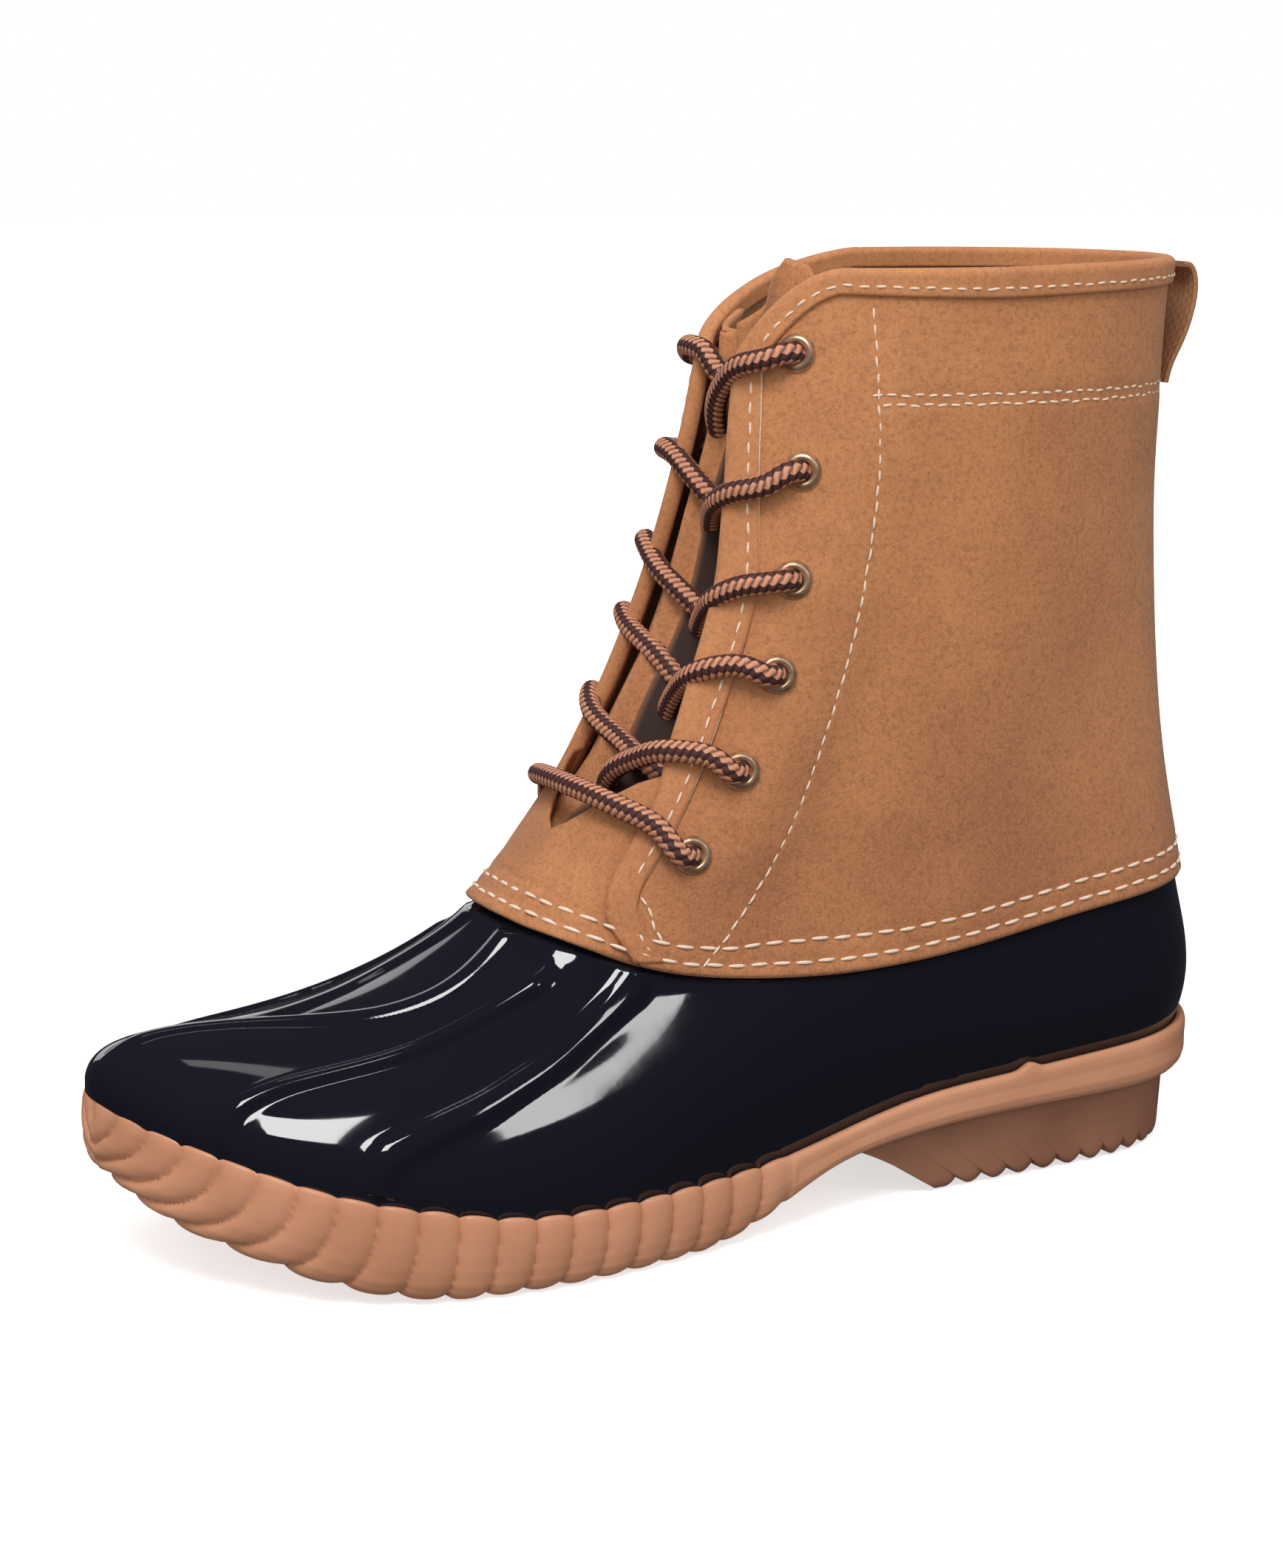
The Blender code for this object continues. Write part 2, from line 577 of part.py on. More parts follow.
band_h = np.concatenate([outer_part[:, :, 1], collar_h, inner_part[::-1, :, 1]])
low_side = GAP + 0.7 + LEATHER_WALL
sheet("edge_band", layer(band_u, band_h, np.full(band_u.shape, low_side + BAND_THICKNESS)),
      layer(band_u, band_h, np.full(band_u.shape, low_side)), "leather")

# Front tab: the leather between the facings' feet, with its upper edge curving up to both sides.
tab_share = np.linspace(0, 1, 13)
tab_rise = np.linspace(0, 1, 6)
tab_u, tab_h = [], []
for share in tab_share:
    top = 91.0 + 10.0 * abs(2 * share - 1) ** 1.5
    foot_u = np.interp(share, [0, 1], [EDGE[-1][0][4], EDGE[1][0][4]])
    z_low = float(surface(foot_u, 1.0)[2])
    z = z_low + (top - z_low) * tab_rise
    left, _ = beside_throat(z, np.full(z.shape, -1.2), -1)
    right, _ = beside_throat(z, np.full(z.shape, -1.2), 1)
    u = left + (right - left) * share
    h = level(u, z)
    h[0] = 1.0
    tab_u.append(u)
    tab_h.append(h)
tab_u, tab_h = np.array(tab_u), np.array(tab_h)
sheet("front_tab", layer(tab_u, tab_h, np.full(tab_u.shape, GAP + LEATHER_WALL)),
      layer(tab_u, tab_h, np.full(tab_u.shape, GAP)), "leather")

# Tongue: rises from behind the tab, tucked under both facings, with a fold along each edge of the throat.
tongue_rise = np.array([0.0, 0.06, 0.14, 0.24, 0.37, 0.52, 0.67, 0.82, 0.93, 1.0])
under_flap = 18.0
tongue_u, tongue_h, tongue_in = [], [], []
for share in np.linspace(-1, 1, 13):
    top = 198 + 12 * share ** 2 + 10 * max(0, -share) ** 4
    tongue_z = 88 + (top - 88) * tongue_rise
    left, _ = beside_throat(tongue_z, np.full(tongue_z.shape, under_flap), -1)
    right, _ = beside_throat(tongue_z, np.full(tongue_z.shape, under_flap), 1)
    u = left + (right - left) * (share + 1) / 2
    tuck = np.clip((np.array(tongue_z) - 96) / 20, 0, 1)
    fold = 0.5 + 3.4 * tuck * (1 - abs(share) ** 3) + 1.2 * tuck * math.cos(share * 9.0) * (1 - share ** 2)
    tongue_u.append(u)
    tongue_h.append(level(u, tongue_z))
    tongue_in.append(fold)
tongue_u, tongue_h, tongue_in = np.array(tongue_u), np.array(tongue_h), np.array(tongue_in)
sheet("tongue", layer(tongue_u, tongue_h, -tongue_in), layer(tongue_u, tongue_h, -tongue_in - TONGUE_THICKNESS), "leather")

# Pull loop: webbing from the collar's edge, out and down to its stitching on the back.
LOOP_PATH = [(10.2, 217.6), (8.0, 217.0), (6.4, 213.6), (6.6, 207.0), (9.3, 199.0), (12.7, 192.0), (14.4, 186.5)]
LOOP_HALF = 9.5
LOOP_THICKNESS = 1.4
path = np.array(LOOP_PATH)
knots = np.arange(len(path), dtype=float)
loop_curve = spline(np.column_stack([knots, path]))
fine = np.linspace(0, len(path) - 1, 13)
centre = loop_curve(fine)
tangent = loop_curve(fine + 1e-3) - loop_curve(fine - 1e-3)
tangent /= np.linalg.norm(tangent, axis=1)[:, None]
normal = np.column_stack([-tangent[:, 1], tangent[:, 0]])
across = np.linspace(-LOOP_HALF, LOOP_HALF, 2)


def loop_grid(offset):
    moved = centre + normal * offset
    return np.array([[(s, y, z) for y in across] for s, z in moved])


sheet("pull_loop", loop_grid(LOOP_THICKNESS / 2), loop_grid(-LOOP_THICKNESS / 2), "webbing")


# Laces: one bar low on the throat and five crossings, each two strands joined where they cross.
def strand(name, points, helper):
    curve = bpy.data.curves.new(name, "CURVE")
    curve.dimensions = "3D"
    curve.bevel_depth = LACE_RADIUS * MM
    curve.bevel_resolution = 1
    curve.use_fill_caps = True
    curve.resolution_u = 2
    line = curve.splines.new("BEZIER")
    line.bezier_points.add(len(points) - 1)
    for knot, (s, y, z) in zip(line.bezier_points, points):
        knot.co = ((LENGTH / 2 - s) * MM, (y + Y_SHIFT) * MM, z * MM)
        knot.handle_left_type = knot.handle_right_type = "AUTO"
    source = bpy.data.objects.new(name, curve)
    helpers.objects.link(source)
    mesh = bpy.data.meshes.new_from_object(source)
    bpy.data.objects.remove(source, do_unlink=True)
    work = bmesh.new()
    work.from_mesh(mesh)
    bmesh.ops.remove_doubles(work, verts=work.verts, dist=1e-6)
    bmesh.ops.recalc_face_normals(work, faces=work.faces)
    work.to_mesh(mesh)
    work.free()
    mesh.materials.clear()
    mesh.shade_smooth()
    return finish(name, mesh, "lace", helper)


ON_LEATHER = GAP * 3 + LEATHER_WALL + BAND_THICKNESS + LACE_RADIUS + 1.3
OVER_EYELET = GAP * 3 + LEATHER_WALL + EYELET_BEAD * 1.2 + LACE_RADIUS + 0.2


def lace_point(z, distance, side, out):
    u, h = beside_throat(np.array(float(z)), distance, side)
    return layer(u, h, np.array(float(out)))


def middle_point(z, out):
    u = np.array(0.5)
    return layer(u, level(u, np.array(float(z))), np.array(float(out)))


BAR = [(88.5, 16.5, OVER_EYELET), (92.5, 8, ON_LEATHER), (95.5, -2, ON_LEATHER)]
half_bars = [[lace_point(z, distance, side, out) for z, distance, out in BAR] for side in (-1, 1)]
strand("lace_bar", half_bars[0] + [middle_point(97.5, ON_LEATHER)] + half_bars[1][::-1], False)
for number in range(5):
    z_level = EYELETS[-1][number][0]
    lowest = number == 4
    z_cross, z_start = (z_level - 1.0, z_level - 3.0) if lowest else (z_level - 5.0, z_level - 11.0)
    lengths = []
    for side in (-1, 1):
        z_high, reach = EYELETS[side][number]
        points = [lace_point(z_start, -4.2, -side, ON_LEATHER if lowest else 1.5),
                  middle_point(z_cross, ON_LEATHER - 0.3),
                  lace_point(z_high - 3, 3.0, side, ON_LEATHER),
                  lace_point(z_high - 0.6, 9, side, ON_LEATHER),
                  lace_point(z_high, reach - 0.5, side, OVER_EYELET)]
        name = f"lace_cross_{number + 1}"
        lengths.append(strand(name if side < 0 else name + "_other", points, side > 0))
    boolean(lengths[0], lengths[1], "UNION")
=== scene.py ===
import json
import math
import bmesh
import bpy
import numpy as np
from mathutils import Matrix, Vector

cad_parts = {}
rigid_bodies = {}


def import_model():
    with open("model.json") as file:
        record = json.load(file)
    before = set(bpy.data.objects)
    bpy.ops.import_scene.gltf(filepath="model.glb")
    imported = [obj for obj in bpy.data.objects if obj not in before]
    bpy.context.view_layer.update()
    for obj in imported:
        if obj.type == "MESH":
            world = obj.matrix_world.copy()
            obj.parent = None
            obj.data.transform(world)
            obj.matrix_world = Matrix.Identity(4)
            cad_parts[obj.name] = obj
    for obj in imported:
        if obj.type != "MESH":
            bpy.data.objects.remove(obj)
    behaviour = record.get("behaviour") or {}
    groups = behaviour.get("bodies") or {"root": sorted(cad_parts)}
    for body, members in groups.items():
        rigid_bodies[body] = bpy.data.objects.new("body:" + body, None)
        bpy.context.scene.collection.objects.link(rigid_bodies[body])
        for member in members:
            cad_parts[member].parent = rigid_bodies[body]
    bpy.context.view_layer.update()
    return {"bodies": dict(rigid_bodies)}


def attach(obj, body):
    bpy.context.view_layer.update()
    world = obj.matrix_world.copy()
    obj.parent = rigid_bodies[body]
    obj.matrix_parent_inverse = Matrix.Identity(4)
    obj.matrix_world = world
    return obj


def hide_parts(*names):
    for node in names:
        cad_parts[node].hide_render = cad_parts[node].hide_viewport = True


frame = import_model()
scene = bpy.context.scene
scene.view_settings.view_transform = "Standard"
MM = 0.001

# The studio: a pale floor, one large soft box over the toe, weaker boxes round the boot, and a white
# surround. The floor and the surround are kept out of the gloss, as the dark walls of a studio are.
camera_data = bpy.data.cameras.new("camera")
camera_data.sensor_width = 36.0
camera_data.lens = 4341.8 * 36.0 / 2121.0
camera = bpy.data.objects.new("camera", camera_data)
scene.collection.objects.link(camera)
azimuth, pitch, roll = (math.radians(v) for v in (-28.0, 11.996, 0.8))
level_ahead = Vector((-math.sin(azimuth), math.cos(azimuth), 0.0))
right = Vector((math.cos(azimuth), math.sin(azimuth), 0.0))
ahead = level_ahead * math.cos(pitch) - Vector((0, 0, 1)) * math.sin(pitch)
up = right.cross(ahead)
right, up = right * math.cos(roll) + up * math.sin(roll), up * math.cos(roll) - right * math.sin(roll)
camera.matrix_world = Matrix.Translation((-0.35245, -0.6414, 0.2542)) @ Matrix(
    ((right.x, up.x, -ahead.x), (right.y, up.y, -ahead.y), (right.z, up.z, -ahead.z))).to_4x4()
scene.camera = camera

ground = bmesh.new()
bmesh.ops.create_grid(ground, x_segments=1, y_segments=1, size=6.0)
floor_mesh = bpy.data.meshes.new("floor")
ground.to_mesh(floor_mesh)
ground.free()
floor = bpy.data.objects.new("floor", floor_mesh)
floor.location.z = -0.0004
scene.collection.objects.link(floor)
floor.visible_glossy = False
floor.visible_diffuse = False
floor_paper = bpy.data.materials.new("floor_paper")
floor_paper.use_nodes = True
floor_paper.node_tree.nodes["Principled BSDF"].inputs["Base Color"].default_value = (0.8, 0.8, 0.8, 1)
floor_paper.node_tree.nodes["Principled BSDF"].inputs["Emission Color"].default_value = (1, 1, 1, 1)
floor_paper.node_tree.nodes["Principled BSDF"].inputs["Emission Strength"].default_value = 0.62
floor_paper.node_tree.nodes["Principled BSDF"].inputs["Roughness"].default_value = 0.9
floor_mesh.materials.append(floor_paper)

world = bpy.data.worlds.new("surround")
scene.world = world
world.use_nodes = True
sky = world.node_tree
path_kind = sky.nodes.new("ShaderNodeLightPath")
paper_white = sky.nodes["Background"]
paper_white.inputs["Color"].default_value = (1, 1, 1, 1)
paper_white.inputs["Strength"].default_value = 1.0
wall_light = sky.nodes.new("ShaderNodeBackground")
wall_light.inputs["Color"].default_value = (1.0, 0.985, 0.97, 1)
height_seen = sky.nodes.new("ShaderNodeSeparateXYZ")
sky.links.new(sky.nodes.new("ShaderNodeTexCoord").outputs["Generated"], height_seen.inputs[0])
brighter_above = sky.nodes.new("ShaderNodeMapRange")
for socket, number in zip(("From Min", "From Max", "To Min", "To Max"), (-1.0, 1.0, 0.27, 0.80)):
    brighter_above.inputs[socket].default_value = number
sky.links.new(height_seen.outputs["Z"], brighter_above.inputs["Value"])
sky.links.new(brighter_above.outputs["Result"], wall_light.inputs["Strength"])
dark_wall = sky.nodes.new("ShaderNodeBackground")
dark_wall.inputs["Color"].default_value = (0.6, 0.66, 0.8, 1)
dark_wall.inputs["Strength"].default_value = 0.05
soft = sky.nodes.new("ShaderNodeMixShader")
sky.links.new(path_kind.outputs["Is Glossy Ray"], soft.inputs[0])
sky.links.new(wall_light.outputs[0], soft.inputs[1])
sky.links.new(dark_wall.outputs[0], soft.inputs[2])
seen = sky.nodes.new("ShaderNodeMixShader")
sky.links.new(path_kind.outputs["Is Camera Ray"], seen.inputs[0])
sky.links.new(soft.outputs[0], seen.inputs[1])
sky.links.new(paper_white.outputs[0], seen.inputs[2])
sky.links.new(seen.outputs[0], sky.nodes["World Output"].inputs["Surface"])


def soft_box(name, towards, distance, size, power, glossy=True):
    lamp = bpy.data.lights.new(name, "AREA")
    lamp.shape = "RECTANGLE"
    lamp.size, lamp.size_y = size
    lamp.energy = power
    made = bpy.data.objects.new(name, lamp)
    away = Vector(towards).normalized()
    made.location = Vector((-0.04, -0.02, 0.06)) + away * distance
    made.rotation_euler = away.to_track_quat("Z", "Y").to_euler()
    made.visible_glossy = glossy
    scene.collection.objects.link(made)


soft_box("toe_box", (-0.335, -0.45, 0.83), 1.5, (0.50, 0.62), 13.6)
soft_box("side_box", (0.27, -0.775, 0.57), 1.5, (0.17, 0.30), 1.5)
soft_box("back_box", (0.17, 0.95, 0.20), 1.8, (1.3, 0.7), 3.0)
soft_box("top_box", (0.10, 0.36, 0.93), 1.8, (0.4, 0.22), 0.4)
soft_box("front_fill", (-0.7, -0.75, 0.45), 2.0, (1.4, 1.4), 4.4, glossy=False)

# Outsole: one moulding of natural gum rubber. Overlapping flutes run round the forefoot and turn under
# towards the toe, the waist and heel have a plain band, and a scalloped lip stands round the shell.
# Sizes are in millimetres: s runs forward from the back of the heel, y across with the outer side
# negative, z up. Each piece is a flat pattern laid on curves given by u, the share of the way round.
BODY = next(iter(frame["bodies"]))
LENGTH, Y_SHIFT = 285.5, 0.45
SOLE_PLAN = [(0, 0), (6, -17), (22, -29), (48, -33.5), (80, -35), (112, -36.5), (145, -42), (175, -48.5),
             (205, -50.5), (232, -46), (255, -34.5), (272, -18), (282.5, -3), (285.5, 9), (283, 21),
             (274, 32.5), (257, 42.5), (232, 48.5), (205, 49.5), (175, 45), (145, 37), (112, 31.5),
             (80, 31.5), (48, 32), (22, 28), (6, 17)]
SEAM_LINE = [(0, 31.5), (40, 30), (70, 28.2), (95, 26), (112, 22.6), (135, 18.2), (165, 17), (190, 17),
             (208, 18), (225, 21), (249, 27), (267, 33.5), (279, 38.5), (288, 43)]
UNDER_LINE = [(0, 18), (40, 18), (88, 17), (106, 15), (120, 12), (137, 5), (150, 1), (158, 0), (222, 0),
              (232, 1), (244, 3.2), (254, 6), (264, 9.5), (272, 12.5), (280, 17), (288, 24)]
UP = np.array([0.0, 0.0, 1.0])


def spline(points, period=None):
    """Cubic spline through (position, value...) rows, periodic when a period is given."""
    rows = np.array(points, float)
    x, y = rows[:, 0], rows[:, 1:]
    start = x[0]
    if period:
        x = np.concatenate([x[-3:] - period, x, x[:4] + period])
        y = np.concatenate([y[-3:], y, y[:4]])
    h, n = np.diff(x), len(x)
    system, side = np.eye(n), np.zeros_like(y)
    for i in range(1, n - 1):
        system[i, i - 1:i + 2] = h[i - 1], 2 * (h[i - 1] + h[i]), h[i]
        side[i] = 6 * ((y[i + 1] - y[i]) / h[i] - (y[i] - y[i - 1]) / h[i - 1])
    bend = np.linalg.solve(system, side)

    def value(q):
        q = np.asarray(q, float)
        flat = (q.ravel() - start) % period + start if period else q.ravel()
        i = np.clip(np.searchsorted(x, flat) - 1, 0, n - 2)
        b = ((flat - x[i]) / h[i])[:, None]
        c = 1 - b
        cubic = (c ** 3 - c) * bend[i] + (b ** 3 - b) * bend[i + 1]
        found = c * y[i] + b * y[i + 1] + h[i][:, None] ** 2 / 6 * cubic
        return found.reshape(q.shape if y.shape[1] == 1 else q.shape + (y.shape[1],))

    return value


def outline(points, front):
    """Closed curve by share of its length: 0 at the back, 0.5 at the front point."""
    loop = np.array(points + points[:1], float)
    knots = np.concatenate([[0], np.cumsum(np.linalg.norm(np.diff(loop, axis=0), axis=1))])
    curve = spline(np.column_stack([knots[:-1], loop[:-1]]), period=knots[-1])
    fine = np.linspace(0, knots[-1], 2001)
    arc = np.concatenate([[0], np.cumsum(np.linalg.norm(np.diff(curve(fine), axis=0), axis=1))])
    middle = np.interp(knots[front], fine, arc)
    share = np.where(arc <= middle, 0.5 * arc / middle, 0.5 + 0.5 * (arc - middle) / (arc[-1] - middle))
    return lambda w: curve(np.interp(np.asarray(w, float) % 1.0, share, fine))


def outward(curve, w):
    d = curve(w + 1e-3) - curve(w - 1e-3)
    n = np.stack([d[..., 1], -d[..., 0], np.zeros(d.shape[:-1])], -1)
    return n / np.linalg.norm(n, axis=-1)[..., None]


sole_curve, seam_z, under_curve = outline(SOLE_PLAN, 13), spline(SEAM_LINE), spline(UNDER_LINE)


def to_world(points):
    p = np.asarray(points, float)
    return np.stack([LENGTH / 2 - p[..., 0], p[..., 1] + Y_SHIFT, p[..., 2]], -1) * MM


def as_piece(name, work, replaced=(), smooth_to=50):
    """Links a finished bmesh as a piece of the boot, smooth but for its sharp edges."""
    mesh = bpy.data.meshes.new(name)
    work.to_mesh(mesh)
    work.free()
    mesh.shade_smooth()
    mesh.set_sharp_from_angle(angle=math.radians(smooth_to))
    piece = bpy.data.objects.new(name, mesh)
    scene.collection.objects.link(piece)
    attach(piece, BODY)
    if replaced:
        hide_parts(*replaced)
    return piece


def laid(across, along, shape, merge=True):
    """A flat grid laid on the last: shape turns the pattern's shares, across and along, into places."""
    work = bmesh.new()
    work.loops.layers.uv.new("UVMap")
    bmesh.ops.create_grid(work, x_segments=across, y_segments=along, size=0.5, calc_uvs=True)
    flat = np.array([v.co[:2] for v in work.verts]) + 0.5
    for vertex, place in zip(work.verts, to_world(shape(flat[:, 0], flat[:, 1]))):
        vertex.co = place
    if merge:
        bmesh.ops.remove_doubles(work, verts=work.verts, dist=2e-6)
        bmesh.ops.recalc_face_normals(work, faces=work.faces)
    return work


def along_rows(rows, t):
    """Values between the rows of a profile, by share of its length."""
    rows = np.array(rows, float)
    at = np.concatenate([[0], np.cumsum(rows[1:, -1])])
    at /= at[-1]
    return [np.interp(t, at, rows[:, k]) for k in range(rows.shape[1] - 1)]


def bump(x, width):
    return np.exp(-(x / width) ** 2)


RIBS, RIB_START, HEEL_INSET = 40, 133.0, 6.5


def share_at(s, side):
    w = np.linspace(0, 0.5, 400) if side < 0 else np.linspace(1, 0.5, 400)
    return float(np.interp(s, sole_curve(w)[:, 0], w))


def under_z(s):
    return np.where((s > 157) & (s < 223), 0.0, np.maximum(under_curve(s), 0.0))


RIB_FROM, RIB_TO = share_at(RIB_START, -1), share_at(RIB_START, 1)
# Rows from the middle of the underside, round the edge, to the middle of the bed: inset in mm, share of
# the wall's height, distance towards the middle line (0 to 1), and the row's share of the grid.
SOLE_ROWS = [(9, 0.0, 1.0, 0), (9, 0.0, 0.0, 12), (5.4, 0.0, 0, 3), (3.6, 0.025, 0, 2),
             (2.1, 0.085, 0, 3), (1.0, 0.19, 0, 4), (0.3, 0.36, 0, 6), (0.0, 0.55, 0, 6),
             (0.05, 0.72, 0, 6), (0.3, 0.88, 0, 5), (0.7, 0.97, 0, 3), (1.2, 1.0, 0, 2),
             (2.2, 0.99, 0, 2), (2.9, 0.96, 0, 2), (2.95, 0.80, 0, 2), (6.6, 0.80, 0, 3),
             (8.2, 0.68, 0.0, 2), (8.2, 0.68, 1.0, 6)]
ROW_AT = np.concatenate([[0], np.cumsum([row[3] for row in SOLE_ROWS[1:]])]) / sum(row[3]
                                                                                   for row in SOLE_ROWS)
WALL_FROM, WALL_TO, BED_FROM = ROW_AT[1], ROW_AT[12], ROW_AT[14]


def toe_share(w):
    """1 at the toe's point, 0 once the rim has its own lip along the side."""
    return np.clip(1 - np.abs(w - 0.5) / 0.13, 0, 1) ** 0.8


def sole_shape(w, t):
    inset, part, middle = along_rows(SOLE_ROWS, t)
    edge = sole_curve(w)
    out = outward(sole_curve, w)[..., :2]
    under = under_z(edge[..., 0])
    rim = seam_z(edge[..., 0])
    lip = rim - 2.6 * toe_share(w)
    inside = (w > RIB_FROM) & (w < RIB_TO)
    fade = np.clip(np.minimum(w - RIB_FROM, RIB_TO - w) * 160, 0, 1)
    near_toe = np.clip(1 - np.abs(w - 0.5) / 0.16, 0, 1)
    from_back = np.clip((0.5 - np.abs(w - 0.5) - 0.355) / 0.145, 0, 1)
    sweep = 0.25 + 2.9 * from_back ** 2 * (3 - 2 * from_back)
    lean = np.sign(0.5 - w) * sweep * np.clip(1 - part, 0, 1) ** 2.1
    place = ((w - RIB_FROM) / (RIB_TO - RIB_FROM) * RIBS - lean) % 1.0
    place = np.where(w < 0.5, 1 - place, place)
    groove = 1.25 * np.abs(2 * place ** 0.85 - 1) ** 2.3 + 0.45 * place ** 12
    on_wall = np.interp(t, [WALL_FROM, WALL_FROM + 0.06, WALL_TO - 0.06, WALL_TO], [0.9, 1.0, 1.0, 0.5])
    on_wall = on_wall * (t > WALL_FROM) * (t < WALL_TO + 0.01) * (1 - 0.7 * toe_share(w)
                                                                  * np.clip((part - 0.75) / 0.2, 0, 1))
    inset = inset + np.where(inside, groove * fade, 0.0) * on_wall
    inset = inset + np.where(inside, 0, 0.45 * bump(part - 0.60, 0.2)) * on_wall
    z = under + (lip - under) * part
    on_lip = np.interp(part, [0.8, 0.97, 1.0], [0, 1, 1]) * (t > WALL_FROM) * (t < BED_FROM)
    scallop = np.where(inside, (0.30 - groove) * 0.85 * fade * (1 - toe_share(w)), 0.0)
    blob = 1.6 * bump(edge[..., 0] - 64.5, 2.6) * (w < 0.5)
    z = z + (scallop + blob) * on_lip
    foot = np.interp(t, [WALL_FROM, WALL_FROM + 0.05, WALL_FROM + 0.2], [1, 1, 0]) * (middle == 0)
    z = z + np.where(inside, (0.4 - groove) * -1.1 * foot * fade * (0.45 + 0.55 * near_toe), 0.0)
    z = np.where((t >= BED_FROM) & (part < 0.9), np.where(part > 0.75, rim - 3.0, rim - 5.2), z)
    plan = edge - out * inset[..., None]
    twin = 1 - w
    other = sole_curve(twin) - outward(sole_curve, twin)[..., :2] * inset[..., None]
    centre = (plan + other) / 2
    plan = plan * (1 - middle[..., None]) + centre * middle[..., None]
    lug = plan[..., 0] + 3.0 * np.cos(plan[..., 1] / 9.0)
    tread = np.clip(np.cos(lug * 2 * np.pi / 9.2) * 2.5 - 1.1, 0, 1) * 1.6
    fore = np.interp(plan[..., 0], [150, 160, 236, 250], [0, 1, 1, 0])
    z = np.where(t < WALL_FROM + 0.04, z + tread * fore * np.interp(middle, [0, 0.06, 0.9, 1],
                                                                    [0, 1, 1, 0.3]), z)
    return np.stack([plan[..., 0], plan[..., 1], z], -1)


sole_mesh = laid(1180, 70, sole_shape)
outsole = as_piece("outsole_moulding", sole_mesh, ("outsole",), 60)


# Heel block: the moulded heel under the band, a hollow horseshoe in the mould, with rounded teeth.
BREAST_LOW, BREAST_TOP = 87, 116


def heel_shape(w, t):
    """w runs round from the breast on the outer side to the inner one, t up the wall and over both ends."""
    ends = np.array([share_at(BREAST_LOW, -1), 0.0, 1.0, share_at(BREAST_LOW, 1)])
    share = np.where(w <= 0.5, np.interp(w, [0, 0.5], ends[:2]), np.interp(w, [0.5, 1], ends[2:]))
    tops = np.where(w <= 0.5, np.interp(w, [0, 0.5], [share_at(BREAST_TOP, -1), 0]),
                    np.interp(w, [0.5, 1], [1, share_at(BREAST_TOP, 1)]))
    up_wall = np.clip((t - 0.3) / 0.5, 0, 1)
    use = share + (tops - share) * up_wall
    inset = HEEL_INSET + 0.9 * np.clip(1 - up_wall / 0.12, 0, 1) ** 2 - 1.0 * up_wall
    plan = sole_curve(use) - outward(sole_curve, use)[..., :2] * inset[..., None]
    s_low = sole_curve(share)[..., 0]
    tooth = np.abs(np.cos((s_low - 16) * np.pi / 7.6)) ** 0.7
    end = np.interp(w, [0, 0.02, 0.98, 1], [0, 1, 1, 0])
    z_low = 2.6 * (1 - tooth) * np.interp(s_low, [10, 16, 84, BREAST_LOW], [0, 1, 1, 0]) * end
    top = under_curve(plan[..., 0]) + 2.5
    z = z_low * (1 - up_wall) + top * up_wall
    into = np.where(t < 0.3, 1 - t / 0.3, np.where(t > 0.8, (t - 0.8) / 0.2, 0.0))
    middle = np.stack([plan[..., 0], plan[..., 1] * 0], -1) + np.array([0, 0.5])
    low_floor = np.where(t < 0.3, np.interp(into, [0, 0.1, 1], [0, 0.4, 0.4]), 0.0)
    plan = plan * (1 - into[..., None]) + middle * into[..., None]
    return np.stack([plan[..., 0], plan[..., 1], z * np.where(t < 0.3, 1 - 0.3 * low_floor, 1)], -1)


heel_mesh = laid(400, 44, heel_shape)
bmesh.ops.holes_fill(heel_mesh, edges=[e for e in heel_mesh.edges if e.is_boundary])
bmesh.ops.recalc_face_normals(heel_mesh, faces=heel_mesh.faces)
heel_block = as_piece("heel_block", heel_mesh, (), 50)


def new_finish(name, roughness):
    """A material with its Principled shader, its node tree and its Object coordinates."""
    made = bpy.data.materials.new(name)
    made.use_nodes = True
    tree = made.node_tree
    shader = tree.nodes["Principled BSDF"]
    shader.inputs["Roughness"].default_value = roughness
    place = tree.nodes.new("ShaderNodeTexCoord")
    return made, tree, shader, place


def noise(tree, vector, scale, detail=3.0, roughness=0.5):
    made = tree.nodes.new("ShaderNodeTexNoise")
    made.inputs["Scale"].default_value = scale
    made.inputs["Detail"].default_value = detail
    made.inputs["Roughness"].default_value = roughness
    tree.links.new(vector, made.inputs["Vector"])
    return made.outputs["Fac"]


def ramp(tree, value, low, high, to_low=0.0, to_high=1.0):
    made = tree.nodes.new("ShaderNodeMapRange")
    for socket, number in zip(("From Min", "From Max", "To Min", "To Max"), (low, high, to_low, to_high)):
        made.inputs[socket].default_value = number
    tree.links.new(value, made.inputs["Value"])
    return made.outputs["Result"]


def blend_colour(tree, share, first, second):
    made = tree.nodes.new("ShaderNodeMix")
    made.data_type = "RGBA"
    tree.links.new(share, made.inputs["Factor"])
    for socket, colour in (("A", first), ("B", second)):
        wanted = [i for i in made.inputs if i.name == socket and i.type == "RGBA"][0]
        if isinstance(colour, tuple):
            wanted.default_value = (*colour, 1)
        else:
            tree.links.new(colour, wanted)
    return [o for o in made.outputs if o.type == "RGBA"][0]


def math_node(tree, operation, first, second):
    made = tree.nodes.new("ShaderNodeMath")
    made.operation = operation
    for socket, value in zip(made.inputs, (first, second)):
        if isinstance(value, (int, float)):
            socket.default_value = value
        else:
            tree.links.new(value, socket)
    return made.outputs[0]


